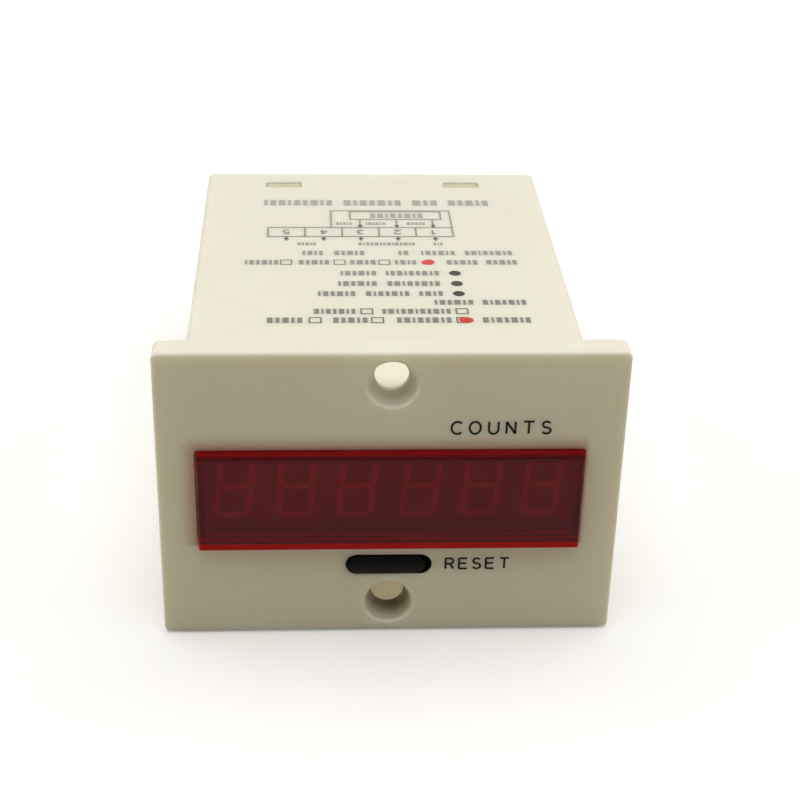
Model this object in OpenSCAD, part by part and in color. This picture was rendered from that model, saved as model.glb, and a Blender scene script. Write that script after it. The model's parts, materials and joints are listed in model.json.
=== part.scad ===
// Panel counter: a front plate moulded in one with a rectangular case, a raised red window over
// two three-digit display modules, a reset push-button and a snap-in rear cover round five screw terminals.
// The rear face of the front plate is the plane y = 0. The display looks along -Y and +Z is up.

/* [Display modules] */
// Spacing of the digits inside one module
digit_pitch = 8; // [7.4:0.1:9]
// Height of a digit over its segments
digit_h = 9.5; // [9:0.1:12]
// Width of a digit over its segments
digit_w = 5; // [4.6:0.1:5.8]
// Width of one segment
segment_w = 0.8; // [0.6:0.1:1.2]
// Lean of the digits from the vertical, in degrees
digit_slant = 5; // [0:1:10]
// Depth of a segment below the module's face
segment_depth = 0.6; // [0.4:0.1:1]
// Clearance round a segment in its pocket
segment_gap = 0.02; // [0.01:0.01:0.05]
// Split between two neighbouring segments
segment_split = 0.12; // [0.05:0.01:0.3]
// Plain border beside the outer digits of a module
module_border_x = 0.15; // [0.1:0.05:1]
// Plain border above and below the digits of a module
module_border_z = 0.7; // [0.5:0.1:2]
// Depth of a module from its face to its board
module_t = 7; // [6:0.1:9]
// Gap between the two modules
module_gap = 0.1; // [0.1:0.1:1]
// Depth of the display's middle below the middle of the plate
display_drop = 0.2; // [0:0.05:0.5]
// Pins in one row of a module
pin_columns = 6; // [4:1:8]
// Distance of a row of pins from the module's edge
pin_inset = 0.55; // [0.4:0.05:0.7]

/* [Window lens] */
// Reach of the lens past the modules at each side
lens_side = 0.65; // [0.3:0.05:2]
// Thickness of the lens front
lens_skin = 1.5; // [1:0.1:2]
// Thickness of the lens walls at the sides
lens_wall = 0.9; // [0.7:0.1:1.5]
// Thickness of the lens walls above and below the modules
lens_ledge = 1.7; // [1.2:0.1:2]
// Height of the lens above the front plate
lens_proud = 1.3; // [0.8:0.1:2.5]
// Inward slope of the raised walls over their height
lens_draft = 0.2; // [0.1:0.05:0.6]
// Rounding of the front edge of the lens
lens_edge_r = 0.2; // [0.1:0.05:0.5]
// Corner radius of the lens
lens_corner_r = 0.4; // [0.2:0.05:1]
// Reach of the retaining lips behind the plate
lens_lip = 0.8; // [0.6:0.1:1.5]
// Thickness of the retaining lips
lens_lip_t = 0.8; // [0.5:0.1:1.5]
// Inner corner radius of the lens
lens_hollow_r = 0.3; // [0.2:0.05:0.6]
// Gap between the lens's side walls and the modules
lens_relief = 0.3; // [0.2:0.05:0.6]
// Depth of a lip's root in its wall
lens_root = 0.5; // [0.3:0.05:0.8]

/* [Reset button] */
// Width of the button
button_w = 10.3; // [8:0.1:13.3]
// Height of the button
button_h = 2.7; // [2.6:0.1:4]
// Clearance round the button in its slot
button_gap = 0.2; // [0.15:0.05:0.3]
// Free length of the slot beyond the button's right end
button_free = 0.7; // [0:0.1:1.2]
// Height of the button's left end above the front plate
button_proud = 0.5; // [0:0.05:0.6]
// Fall of the button's face from its left end to its right end
button_fall = 0.2; // [0:0.1:1.2]
// Rise of the button's crowned face over its upper and lower edges
button_crown = 0.3; // [0.1:0.05:0.4]
// Reach of the button's retaining ears past each end of the slot
button_ear = 0.6; // [0.3:0.1:1.3]
// Thickness of the retaining ears
button_ear_t = 0.9; // [0.6:0.1:1.2]
// Travel of the button
press_travel = 0.6; // [0.3:0.1:0.8]
// Plain wall between the lens lip and the button slot
button_land = 0.5; // [0.4:0.05:1.5]
// Room below the button slot
button_floor = 0.25; // [0.15:0.05:1]
// Radius of the button's stem
stem_r = 1.3; // [1:0.05:1.45]

/* [Reset switch] */
// Width of the switch
switch_w = 6; // [5:0.1:7]
// Height of the switch
switch_h = 3.2; // [3:0.1:3.5]
// Depth of the switch's base in front of its board
switch_t = 3.4; // [3:0.1:3.6]
// Thickness of the switch's metal cover
switch_cover_t = 0.3; // [0.2:0.05:0.4]
// Radius of the plunger
plunger_r = 0.9; // [0.7:0.05:1]
// Reach of the plunger's collar past the plunger
plunger_collar = 0.35; // [0.25:0.05:0.4]
// Thickness of the plunger's collar
plunger_collar_t = 0.5; // [0.3:0.05:0.8]
// Distance of a leg from the switch's middle, across
switch_leg_x = 2.4; // [2:0.05:2.7]
// Distance of a leg from the switch's middle, upwards
switch_leg_z = 1.12; // [0.9:0.02:1.2]

/* [Case] */
// Wall thickness of the case
case_wall = 1.6; // [1.2:0.1:2.2]
// Length of the case behind the front plate
case_len = 75.6; // [68:0.1:100]
// Outer corner radius of the case
case_corner_r = 1.2; // [0.9:0.1:2]
// Inner corner radius of the case
inner_corner_r = 0.4; // [0.2:0.1:1]
// Rounding of the case's rear edge
case_end_r = 0.5; // [0.2:0.1:0.8]
// Plain rim between the window opening and the case wall
window_rim = 0.3; // [0.2:0.1:1]

/* [Front plate] */
// Thickness of the front plate
plate_t = 3.6; // [3:0.1:5]
// Reach of the plate past the case at each side
plate_side = 3; // [2:0.1:8]
// Plain edge between a screw hole's countersink and the plate's end
plate_end = 1.3; // [1:0.1:6]
// Rounding of the plate's front edge
plate_edge_r = 0.4; // [0.3:0.1:1.3]
// Corner radius of the plate
plate_corner_r = 1; // [0.2:0.1:2]

/* [Panel screws] */
// Diameter of a screw hole
screw_d = 4.4; // [3.4:0.1:5]
// Diameter of a screw hole at the front face, inside its rounded rim
screw_mouth_d = 6.4; // [5.6:0.1:8]
// Depth of the conical mouth
screw_mouth_depth = 2.8; // [1:0.1:2.8]
// Rounding of the mouth's rim
screw_rim_r = 0.4; // [0.2:0.05:0.8]
// Distance from the case to a screw hole
screw_land = 0.3; // [0.05:0.05:3]

/* [Rear cover] */
// Thickness of the cover plate
cover_t = 2; // [1.5:0.1:3]
// Depth of the cover's rear face inside the case
cover_inset = 0.3; // [0.2:0.1:1]
// Distance of a snap hook from the middle
snap_x = 14.5; // [8:0.5:18]
// Width of a snap window
snap_w = 5.7; // [4:0.1:8]
// Length of a snap window
snap_len = 2.2; // [2:0.1:4]
// Case wall left behind a snap window
snap_land = 3.9; // [2.5:0.1:5]
// Thickness of a snap arm
snap_arm_t = 1.2; // [0.8:0.1:1.6]
// Reach of a snap hook into the case wall
snap_bite = 1.4; // [0.6:0.05:1.5]
// Length of a snap hook's flat top
snap_crest = 1.2; // [0.4:0.1:1.5]
// Play of a snap hook in its window
snap_play = 0.1; // [0.1:0.05:0.4]

/* [Terminals] */
// Number of screw terminals
terminal_ways = 5; // [3:1:6]
// Room between the terminal block and the case wall
terminal_side = 2.3; // [2:0.1:6]
// Thickness of a barrier between two terminals
barrier_t = 1.2; // [1:0.1:1.6]
// Height of a terminal bay
bay_h = 12; // [10:0.1:13]
// Depth of a terminal bay
bay_depth = 9; // [8:0.1:12]
// Thickness of the block above and below a bay
block_skin = 1; // [0.8:0.1:1.6]
// Thickness of the block's base behind a bay
block_base = 5; // [4:0.1:7]
// Depth of the block's rear face inside the case
block_inset = 0.5; // [0.2:0.1:1]
// Thickness of a terminal's contact plate
contact_t = 0.8; // [0.6:0.1:1]
// Height of a terminal's contact plate
contact_h = 9.6; // [8:0.1:9.8]
// Width of a contact's tail
tail_w = 1.2; // [0.8:0.1:1.6]
// Thickness of a clamp plate
clamp_t = 1; // [0.8:0.1:1.5]
// Diameter of a terminal screw's thread
thread_d = 3; // [2.5:0.1:3.5]
// Diameter of a terminal screw's head
head_d = 5.6; // [5:0.1:6]
// Height of a terminal screw's head
head_h = 2; // [1.6:0.1:2.4]
// Rounding of the head's edge
head_r = 0.5; // [0.2:0.1:0.8]
// Depth of a terminal screw's thread in the block
thread_grip = 4; // [3:0.1:4.5]
// Width of the slot in a screw head
drive_slot_w = 0.8; // [0.6:0.1:1]
// Depth of the slot in a screw head
drive_slot_depth = 0.8; // [0.5:0.1:1]
// Length of the cross recess in a screw head
drive_cross = 3.2; // [2.6:0.1:3.6]
// Depth of the cross recess in a screw head
drive_cross_depth = 1.2; // [0.8:0.1:1.4]

/* [Boards] */
// Thickness of the circuit boards
board_t = 1.6; // [1:0.1:2]
// Clearance round the edges of the boards
board_gap = 0.2; // [0.1:0.05:0.5]
// Depth of the main board's upper face below the middle
board_drop = 5; // [4.5:0.1:6]
// Width of a guide rail on the case wall
rail_w = 1.2; // [0.8:0.1:1.5]
// Height of a guide rail
rail_h = 1; // [0.6:0.1:1.5]
// Distance of the rails from the main board's front edge
rail_start = 4; // [2:0.5:8]
// Distance of the rails from the terminal block
rail_stop = 1; // [0.5:0.1:3]
// Size of a corner post that carries the display board
post_w = 2.4; // [1.6:0.1:3]
// Diameter of a round component lead
lead_d = 0.5; // [0.4:0.05:0.6]
// Width of a square connector pin
pin_w = 0.64; // [0.5:0.02:0.7]
// Length of the leads below a board
lead_tail = 1; // [0.5:0.1:1.5]
// Depth of a lead in the part that it carries
lead_sink = 0.3; // [0.2:0.05:0.5]
// Spacing of module, connector and chip pins
pin_pitch = 2.54; // [2:0.01:2.6]

/* [Header] */
// Pins that join the two boards
header_pins_n = 12; // [8:1:14]
// Width and height of the header's strip
header_t = 2.5; // [2.2:0.1:3]
// Distance of the strip from the main board's front edge
header_set = 0.8; // [0.5:0.1:2]

/* [Chips] */
// Height of a chip's body above the board
leg_rise = 0.6; // [0.4:0.1:1]
// Width of a chip's leg
leg_w = 0.5; // [0.4:0.05:0.6]
// Spacing of a chip's two rows of legs
chip_row = 7.62; // [7.4:0.01:8]
// Height of a chip's body
chip_h = 3.2; // [2.6:0.1:4]
// Depth of a chip's body between its rows of legs
chip_d = 6.4; // [6:0.1:6.6]
// Radius of the notch at a chip's first leg
notch_r = 0.8; // [0.5:0.1:1]
// Legs in one row of the microcontroller
mcu_columns = 14; // [10:1:14]
// Legs in one row of the memory chip
memory_columns = 4; // [3:1:4]
// Legs in one row of the optocoupler
coupler_columns = 2; // [2:1:3]

/* [Small parts] */
// Width of the crystal's can
crystal_w = 11; // [9:0.1:12]
// Depth of the crystal's can
crystal_d = 4.6; // [4:0.1:5]
// Height of the crystal's can
crystal_h = 3.5; // [3:0.1:5]
// Spacing of the driver transistors
driver_step = 6.5; // [5:0.1:7]
// Radius of a driver transistor
driver_r = 2.3; // [2:0.1:2.5]
// Depth of the flat behind a driver transistor's middle
driver_flat = 1.7; // [1.2:0.1:1.9]
// Height of a driver transistor
driver_h = 4.6; // [4:0.1:5.5]
// Spacing of the close leads of small parts
lead_step = 1.27; // [1.1:0.01:1.5]
// Number of resistors in the row
resistor_n = 8; // [6:1:9]
// Spacing of the resistors
resistor_step = 4.4; // [3:0.1:4.8]
// Radius of a resistor
resistor_r = 0.9; // [0.7:0.05:1.2]
// Length of a resistor's body
resistor_len = 3.4; // [3:0.1:4]
// Distance of a resistor's bent lead from its middle
resistor_reach = 2.8; // [2.4:0.1:3.4]
// Radius of a ceramic disc
disc_r = 2.2; // [1.8:0.1:2.5]
// Thickness of a ceramic disc
disc_t = 1.6; // [1.2:0.1:2.2]
// Radius of the input capacitor
can_r = 4; // [3:0.05:4.2]
// Height of the input capacitor
can_h = 12; // [8:0.5:14]
// Radius of the output capacitor
can_small_r = 3.15; // [2.5:0.05:4]
// Height of the output capacitor
can_small_h = 11; // [7:0.5:13]
// Height of a can's foot above the board
can_foot = 0.4; // [0.2:0.1:0.8]
// Height of the crimp groove above a can's foot
can_groove_z = 2; // [1.5:0.1:3]
// Radius of the crimp groove
can_groove_r = 0.35; // [0.2:0.05:0.5]
// Radius of a diode
diode_r = 1.3; // [1:0.1:1.4]
// Length of a diode's body
diode_len = 5; // [4:0.1:5.4]
// Distance of a diode's bent lead from its middle
diode_reach = 3.6; // [3.2:0.1:4]
// Width of the regulator
regulator_w = 10; // [9:0.1:10.6]
// Depth of the regulator with its tab
regulator_t = 4.4; // [4:0.1:4.8]
// Height of the regulator's body
regulator_h = 9; // [8:0.1:9.6]
// Thickness of the regulator's tab
tab_t = 1.2; // [0.8:0.1:1.4]
// Height of the regulator's tab
tab_h = 15; // [13.5:0.1:16]
// Radius of the hole in the tab
tab_hole_r = 1.8; // [1.5:0.1:1.9]

/* [Clearances] */
// Clearance between pieces that fit into each other
fit_gap = 0.1; // [0.05:0.01:0.2]
// Clearance round a lead in its board hole
lead_gap = 0.12; // [0.08:0.01:0.2]

/* [Hidden] */
$fn = 48;
IVORY = [0.93, 0.91, 0.82];
LENS_RED = [0.55, 0.03, 0.05, 0.6];
BLACK = [0.06, 0.06, 0.06];
SEGMENT_RED = [0.45, 0.08, 0.1];
BOARD_GREEN = [0.1, 0.32, 0.18];
TINNED = [0.78, 0.78, 0.76];
BRASS = [0.8, 0.66, 0.35];
CERAMIC = [0.82, 0.55, 0.25];
BEIGE = [0.82, 0.74, 0.58];
ALUMINIUM = [0.75, 0.76, 0.78];
SLEEVE = [0.1, 0.12, 0.3];

// Display modules, side by side behind the window
module_digits = 3;
module_w = module_digits * digit_pitch + 2 * module_border_x;
module_h = digit_h + 2 * module_border_z;
module_x = (module_w + module_gap) / 2;
segment_span = digit_w - segment_w;
segment_rise = (digit_h - segment_w) / 2;
point_r = segment_w / 2;
point_x = digit_w / 2 + segment_w;
pin_z = module_h / 2 - pin_inset;

// Lens and its opening
lens_w = 2 * module_w + module_gap + 2 * lens_side;
lens_h = module_h + 2 * (fit_gap + lens_ledge);
lens_top = plate_t + lens_proud;
window_w = lens_w + 2 * fit_gap;
window_h = lens_h + 2 * fit_gap;

// Bore of the switch behind the button
switch_bore_r = plunger_r + plunger_collar + lead_gap;

// Button slot and the inside of the case
slot_w = button_w + 2 * button_gap + button_free;
slot_h = button_h + 2 * button_gap;
button_room = max(slot_h, switch_h + 2 * fit_gap);
button_z = -(display_drop + lens_h / 2 + lens_lip + button_land + button_room / 2);
inner_w = window_w + 2 * window_rim;
inner_h = 2 * (button_room / 2 + button_floor - button_z);
case_w = inner_w + 2 * case_wall;
case_h = inner_h + 2 * case_wall;

// Front plate and panel screws
screw_spacing = case_h + screw_d + 2 * screw_land;
plate_w = case_w + 2 * plate_side;
plate_h = screw_spacing + screw_mouth_d + 2 * plate_end;

// Display board, carried by the posts and by the modules
display_y = module_t;
display_back = display_y + board_t;
switch_y = display_y - switch_t;
switch_cover_y = switch_y - switch_cover_t;
plunger_y = switch_cover_y - press_travel - button_gap;
plunger_collar_y = switch_y + lead_gap;
plunger_end = plunger_collar_y + plunger_collar_t;
switch_bore_depth = plunger_end + press_travel + lead_gap - switch_y;
button_ear_y = button_gap;
button_ear_back = button_ear_y + button_ear_t;

// Rear cover and its snap hooks
cover_back = case_len - cover_inset;
cover_front = cover_back - cover_t;
cover_w = inner_w - 2 * fit_gap;
cover_h = inner_h - 2 * fit_gap;
snap_back = case_len - snap_land;
snap_front = snap_back - snap_len;

// Terminal block on the rear end of the main board
block_w = inner_w - 2 * terminal_side;
block_h = bay_h + 2 * block_skin;
way_pitch = (block_w - barrier_t) / terminal_ways;
bay_w = way_pitch - barrier_t;
block_back = case_len - block_inset;
bay_floor = block_back - bay_depth;
block_front = bay_floor - block_base;
block_z = block_h / 2 - board_drop;
contact_w = bay_w - 4 * fit_gap;
clamp_w = bay_w - 2 * (contact_t + fit_gap);
tail_y = block_front + block_base / 2;
thread_len = thread_grip + contact_t + clamp_t;

// Main board, in rails between the tails of the modules' pins and the rear cover
main_top = -board_drop;
main_bottom = main_top - board_t;
main_front = display_back + lead_tail + board_gap;
main_back = cover_front - board_gap;
board_w = inner_w - 2 * board_gap;
rail_front = main_front + rail_start;
rail_back = block_front - rail_stop;

// Header that joins the two boards
header_w = header_pins_n * pin_pitch;
header_y = main_front + header_set;
header_pin_z = main_top + header_t / 2;

// Rows of parts on the main board, spread along its free length
part_rows = 5;
parts_front = header_y + header_t;
row_step = (block_front - parts_front) / part_rows;
function row_y(n) = parts_front + (n - 0.5) * row_step;

// Parts of different widths in one row, spread across the board with equal gaps
function width_sum(widths, n) = n == 0 ? 0 : widths[n - 1] + width_sum(widths, n - 1);
function row_gap(widths) = (board_w - width_sum(widths, len(widths))) / (len(widths) + 1);
function spread_x(widths, i) =
    width_sum(widths, i) + widths[i] / 2 + (i + 1) * row_gap(widths) - board_w / 2;
memory_w = memory_columns * pin_pitch;
coupler_w = coupler_columns * pin_pitch;
memory_row = [memory_w, 2 * disc_r, crystal_w, 2 * disc_r, coupler_w];
memory_x = spread_x(memory_row, 0);
disc_xs = [spread_x(memory_row, 1), spread_x(memory_row, 3)];
crystal_x = spread_x(memory_row, 2);
coupler_x = spread_x(memory_row, 4);
supply_row = [2 * can_r, 2 * can_small_r, 2 * diode_r, 2 * diode_r, regulator_w];
can_xs = [spread_x(supply_row, 0), spread_x(supply_row, 1)];
can_rs = [can_r, can_small_r];
can_hs = [can_h, can_small_h];
diode_xs = [spread_x(supply_row, 2), spread_x(supply_row, 3)];
regulator_x = spread_x(supply_row, 4);
driver_n = 2 * module_digits;

// Overcut of a cut past the face that it opens
overcut = 1;

// A flat shape drawn in X and Z, seen from the front, made solid from y0 backwards
module facing(y0, depth) {
    translate([0, y0 + depth, 0])
        rotate([90, 0, 0])
            linear_extrude(depth)
                children();
}

// A flat shape drawn in Y and Z, seen from the right, made solid across the width
module across(width) {
    rotate([90, 0, 90])
        linear_extrude(width, center = true)
            children();
}

// A round bar along +Y
module bar_y(r, y0, depth) {
    translate([0, y0, 0])
        rotate([-90, 0, 0])
            cylinder(r = r, h = depth);
}

// Places what belongs to the display, which sits below the middle of the plate
module dropped() {
    translate([0, 0, -display_drop])
        children();
}

// Rectangle with round corners
module rounded(w, h, r) {
    square([w - 2 * r, h], center = true);
    square([w, h - 2 * r], center = true);
    for (sx = [-1, 1], sz = [-1, 1])
        translate([sx * (w / 2 - r), sz * (h / 2 - r)])
            circle(r);
}

// Oblong with half-round ends
module oblong(w, h) {
    square([w - h, h], center = true);
    for (sx = [-1, 1])
        translate([sx * (w - h) / 2, 0])
            circle(h / 2);
}

// Strip of a given length whose two front corners are rounded
module eased_strip(w, length, r) {
    translate([-w / 2, r])
        square([w, length - r]);
    translate([r - w / 2, 0])
        square([w - 2 * r, length]);
    for (sx = [-1, 1])
        translate([sx * (w / 2 - r), r])
            circle(r);
}

// Block with a rounded outline and one rounded end, from y = 0 along +Y
module eased_block(w, h, length, corner_r, end_r) {
    intersection() {
        facing(0, length)
            rounded(w, h, corner_r);
        linear_extrude(2 * h, center = true)
            eased_strip(w, length, end_r);
        rotate([0, -90, 0])
            linear_extrude(2 * w, center = true)
                eased_strip(h, length, end_r);
    }
}

// Cut for one panel screw: straight bore, conical mouth and rounded rim, from the front face along +Y
module screw_cut() {
    mouth_r = screw_mouth_d / 2;
    rim_r = mouth_r + screw_rim_r;
    bar_y(screw_d / 2, -plate_t, 2 * plate_t);
    translate([0, -plate_t, 0])
        rotate([-90, 0, 0]) {
            cylinder(r1 = mouth_r, r2 = screw_d / 2, h = screw_mouth_depth);
            rotate_extrude()
                difference() {
                    translate([0, -plate_t])
                        square([rim_r, plate_t + screw_rim_r]);
                    translate([rim_r, screw_rim_r])
                        circle(screw_rim_r);
                }
        }
}

// Front plate and case tube as one moulding, with posts and rails for the boards
module housing() {
    color(IVORY) {
        difference() {
            union() {
                translate([0, -plate_t, 0])
                    eased_block(plate_w, plate_h, plate_t, plate_corner_r, plate_edge_r);
                translate([0, case_len, 0])
                    mirror([0, 1, 0])
                        eased_block(case_w, case_h, case_len + plate_t / 2, case_corner_r, case_end_r);
            }
            facing(0, case_len + plate_t)
                rounded(inner_w, inner_h, inner_corner_r);
            dropped()
                facing(-2 * plate_t, 3 * plate_t)
                    rounded(window_w, window_h, lens_corner_r + fit_gap);
            facing(-2 * plate_t, 3 * plate_t)
                translate([0, button_z])
                    oblong(slot_w, slot_h);
            for (sz = [-1, 1])
                translate([0, 0, sz * screw_spacing / 2])
                    screw_cut();
            for (sx = [-1, 1])
                translate([sx * snap_x - snap_w / 2, snap_front, -case_h])
                    cube([snap_w, snap_len, 2 * case_h]);
        }
        board_posts();
        board_rails();
    }
}

// Four corner posts between the front plate and the display board
module board_posts() {
    post_root = case_wall / 2;
    for (sx = [-1, 1], sz = [-1, 1])
        facing(-plate_t / 2, plate_t / 2 + display_y)
            translate([sx * (inner_w - post_w + post_root) / 2, sz * (inner_h - post_w + post_root) / 2])
                square(post_w + post_root, center = true);
}

// Rails above and below the edges of the main board
module board_rails() {
    rail_in = rail_w + case_wall / 2;
    for (sx = [-1, 1], z0 = [main_top + fit_gap, main_bottom - fit_gap - rail_h])
        translate([sx * (inner_w / 2 - rail_w + rail_in / 2) - rail_in / 2, rail_front, z0])
            cube([rail_in, rail_back - rail_front, rail_h]);
}

// Section of the lens over a width: y is the height above the plate's rear face
module lens_section(width) {
    shoulder = lens_top - lens_edge_r;
    rise = shoulder - plate_t;
    crest = width - 2 * lens_draft;
    polygon([
        [-width / 2, 0], [width / 2, 0], [width / 2, plate_t], [crest / 2, shoulder],
        [-crest / 2, shoulder], [-width / 2, plate_t]
    ]);
    translate([0, lens_top])
        mirror([0, 1])
            eased_strip(crest, lens_edge_r + rise, lens_edge_r);
}

// Solid outline of the lens: a block with round corners whose raised walls lean inwards on all four sides
module lens_blank() {
    intersection() {
        facing(-lens_top, lens_top)
            rounded(lens_w, lens_h, lens_corner_r);
        mirror([0, 1, 0])
            linear_extrude(2 * lens_h, center = true)
                lens_section(lens_w);
        rotate([0, -90, 0])
            mirror([0, 1, 0])
                linear_extrude(2 * lens_w, center = true)
                    lens_section(lens_h);
    }
}

// Transparent red tray, pushed through the plate from behind until its lips meet the plate
module display_lens() {
    hollow_w = lens_w - 2 * lens_wall;
    hollow_h = lens_h - 2 * lens_ledge;
    color(LENS_RED)
        dropped() {
            difference() {
                lens_blank();
                facing(lens_skin - lens_top, lens_top)
                    rounded(hollow_w, hollow_h, lens_hollow_r);
                facing(-lens_relief, plate_t)
                    square([2 * lens_w, hollow_h], center = true);
            }
            for (sz = [-1, 1])
                translate([0, 0, sz * (lens_h / 2 - lens_ledge)])
                    mirror([0, 0, sz < 0 ? 1 : 0])
                        across(lens_w - 2 * lens_corner_r)
                            polygon([
                                [-lens_root, 0], [lens_lip_t, 0], [lens_lip_t, lens_ledge + lens_lip],
                                [0, lens_ledge + lens_lip], [0, lens_ledge], [-lens_root, lens_ledge]
                            ]);
        }
}

// Black push-button with a sloping, crowned face, retaining ears and a stem that meets the switch
module reset_button() {
    button_top = plate_t + button_proud;
    crown_r = (pow(button_h / 2, 2) + pow(button_crown, 2)) / (2 * button_crown);
    color(BLACK)
        translate([0, 0, button_z]) {
            intersection() {
                translate([-button_free / 2, 0, 0])
                    facing(-button_top, button_top + button_ear_back)
                        oblong(button_w, button_h);
                translate([-button_free / 2, button_fall / 2 - button_top, 0])
                    rotate([0, 0, atan(button_fall / button_w)])
                        translate([0, crown_r, 0])
                            rotate([0, 90, 0])
                                cylinder(r = crown_r, h = 2 * button_w, center = true);
            }
            facing(button_ear_y, button_ear_t)
                square([slot_w + 2 * button_ear, button_h], center = true);
            bar_y(stem_r, button_ear_y, plunger_y - button_ear_y);
        }
}

// One point of a digit, leaned over by the slant
function leaned(p) = [p[0] + p[1] * tan(digit_slant), p[1]];

// Outline of a segment with pointed ends, level or upright
function segment_points(c, span, w, upright) = [
    for (p = [
        [-span / 2, 0], [(w - span) / 2, w / 2], [(span - w) / 2, w / 2],
        [span / 2, 0], [(span - w) / 2, -w / 2], [(w - span) / 2, -w / 2]
    ])
        leaned(upright ? [c[0] + p[1], c[1] + p[0]] : c + p)
];

// The seven segments and the point of one digit, each grown by a margin all round
module digit_outline(grow) {
    w = segment_w + 2 * grow;
    level_span = segment_span - segment_split + 2 * grow;
    upright_span = segment_rise - segment_split + 2 * grow;
    for (level = [-1, 0, 1])
        polygon(segment_points([0, level * segment_rise], level_span, w, false));
    for (sx = [-1, 1], sz = [-1, 1])
        polygon(segment_points([sx * segment_span / 2, sz * segment_rise / 2], upright_span, w, true));
    translate(leaned([point_x, -segment_rise]))
        circle(point_r + grow);
}

// The digits of one module, made solid from a plane in front of or on its face
module module_digits_solid(x0, y0, grow) {
    dropped()
        facing(y0, segment_depth - y0)
            for (i = [0 : module_digits - 1])
                translate([x0 + (i - (module_digits - 1) / 2) * digit_pitch, 0])
                    digit_outline(grow);
}

// Dark body of a three-digit module with a pocket for each segment
module led_module(x0) {
    color(BLACK)
        difference() {
            dropped()
                facing(0, module_t)
                    translate([x0, 0])
                        square([module_w, module_h], center = true);
            module_digits_solid(x0, -overcut, segment_gap);
        }
}

module led_module_left() {
    led_module(-module_x);
}

module led_module_right() {
    led_module(module_x);
}

module digit_segments_left() {
    color(SEGMENT_RED)
        module_digits_solid(-module_x, 0, 0);
}

module digit_segments_right() {
    color(SEGMENT_RED)
        module_digits_solid(module_x, 0, 0);
}

// Pins of both modules, or the board holes for them
module module_pin_bars(grow) {
    dropped()
        for (sx = [-1, 1], sz = [-1, 1], i = [0 : pin_columns - 1])
            translate([sx * module_x + (i - (pin_columns - 1) / 2) * pin_pitch, 0, sz * pin_z])
                bar_y(lead_d / 2 + grow, display_y, board_t + lead_tail);
}

module module_pins() {
    color(TINNED)
        module_pin_bars(0);
}

// Legs of the switch, or the board holes for them
module switch_leg_bars(grow) {
    for (sx = [-1, 1], sz = [-1, 1])
        translate([sx * switch_leg_x, 0, button_z + sz * switch_leg_z])
            bar_y(lead_d / 2 + grow, display_y, board_t + lead_tail);
}

module switch_legs() {
    color(TINNED)
        switch_leg_bars(0);
}

// Pins that join the boards, or the holes for them
module header_pin_bars(grow) {
    w = pin_w + 2 * grow;
    foot_y = header_y + header_t / 2;
    for (i = [0 : header_pins_n - 1])
        translate([(i - (header_pins_n - 1) / 2) * pin_pitch - w / 2, 0, 0]) {
            translate([0, display_y + board_gap - grow, header_pin_z - w / 2])
                cube([w, foot_y - display_y - board_gap + w / 2 + grow, w]);
            translate([0, foot_y - w / 2, main_bottom - lead_tail])
                cube([w, w, header_pin_z + w / 2 - main_bottom + lead_tail]);
        }
}

module header_pins() {
    color(BRASS)
        header_pin_bars(0);
}

// Plastic strip that carries the pins
module header_strip() {
    color(BLACK)
        difference() {
            translate([-header_w / 2, header_y, main_top])
                cube([header_w, header_t, header_t]);
            header_pin_bars(lead_gap);
        }
}

// Upright board behind the display modules
module display_board() {
    color(BOARD_GREEN)
        difference() {
            facing(display_y, board_t)
                square([board_w, inner_h - 2 * board_gap], center = true);
            module_pin_bars(lead_gap);
            switch_leg_bars(lead_gap);
            header_pin_bars(lead_gap);
        }
}

// Base of the switch, hollow for the plunger's collar
module switch_base() {
    color(BLACK)
        translate([0, 0, button_z])
            difference() {
                facing(switch_y, switch_t)
                    square([switch_w, switch_h], center = true);
                bar_y(switch_bore_r, switch_y - fit_gap, switch_bore_depth + fit_gap);
            }
}

module switch_cover() {
    color(TINNED)
        translate([0, 0, button_z])
            difference() {
                facing(switch_cover_y, switch_cover_t)
                    square([switch_w, switch_h], center = true);
                bar_y(plunger_r + lead_gap, switch_cover_y - overcut, switch_cover_t + 2 * overcut);
            }
}

module switch_plunger() {
    color(BLACK)
        translate([0, 0, button_z]) {
            bar_y(plunger_r, plunger_y, plunger_end - plunger_y);
            bar_y(plunger_r + plunger_collar, plunger_collar_y, plunger_collar_t);
        }
}

// Horizontal board between the display board and the rear cover
module main_board() {
    color(BOARD_GREEN)
        difference() {
            translate([-board_w / 2, main_front, main_bottom])
                cube([board_w, main_back - main_front, board_t]);
            header_pin_bars(lead_gap);
            chip_leg_bars(lead_gap);
            lead_bars(lead_gap);
            contact_tails(lead_gap);
        }
}

// Two rows of legs beside a chip, each with a shoulder that meets its body, or the board holes for them
module dip_legs(x0, y0, columns, grow) {
    w = leg_w + 2 * grow;
    rise = leg_rise + chip_h / 2;
    for (sy = [0, 1], i = [0 : columns - 1])
        translate([x0 + (i - (columns - 1) / 2) * pin_pitch - w / 2, y0, main_top])
            mirror([0, sy, 0]) {
                translate([0, (chip_row - w) / 2, -board_t - lead_tail])
                    cube([w, w, board_t + lead_tail + rise]);
                translate([0, chip_d / 2, rise - leg_w])
                    cube([w, (chip_row + w - chip_d) / 2, leg_w]);
            }
}

// Moulded body of a chip on two rows of legs, with the notch at its first leg
module dip_body(x0, y0, columns) {
    w = columns * pin_pitch;
    translate([x0, y0, main_top + leg_rise])
        difference() {
            translate([-w / 2, -chip_d / 2, 0])
                cube([w, chip_d, chip_h]);
            translate([-w / 2, 0, chip_h - notch_r])
                cylinder(r = notch_r, h = chip_h);
        }
}

module chip_leg_bars(grow) {
    dip_legs(0, row_y(2), mcu_columns, grow);
    dip_legs(memory_x, row_y(4), memory_columns, grow);
    dip_legs(coupler_x, row_y(4), coupler_columns, grow);
}

module chip_legs() {
    color(TINNED)
        chip_leg_bars(0);
}

module microcontroller() {
    color(BLACK)
        dip_body(0, row_y(2), mcu_columns);
}

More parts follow.
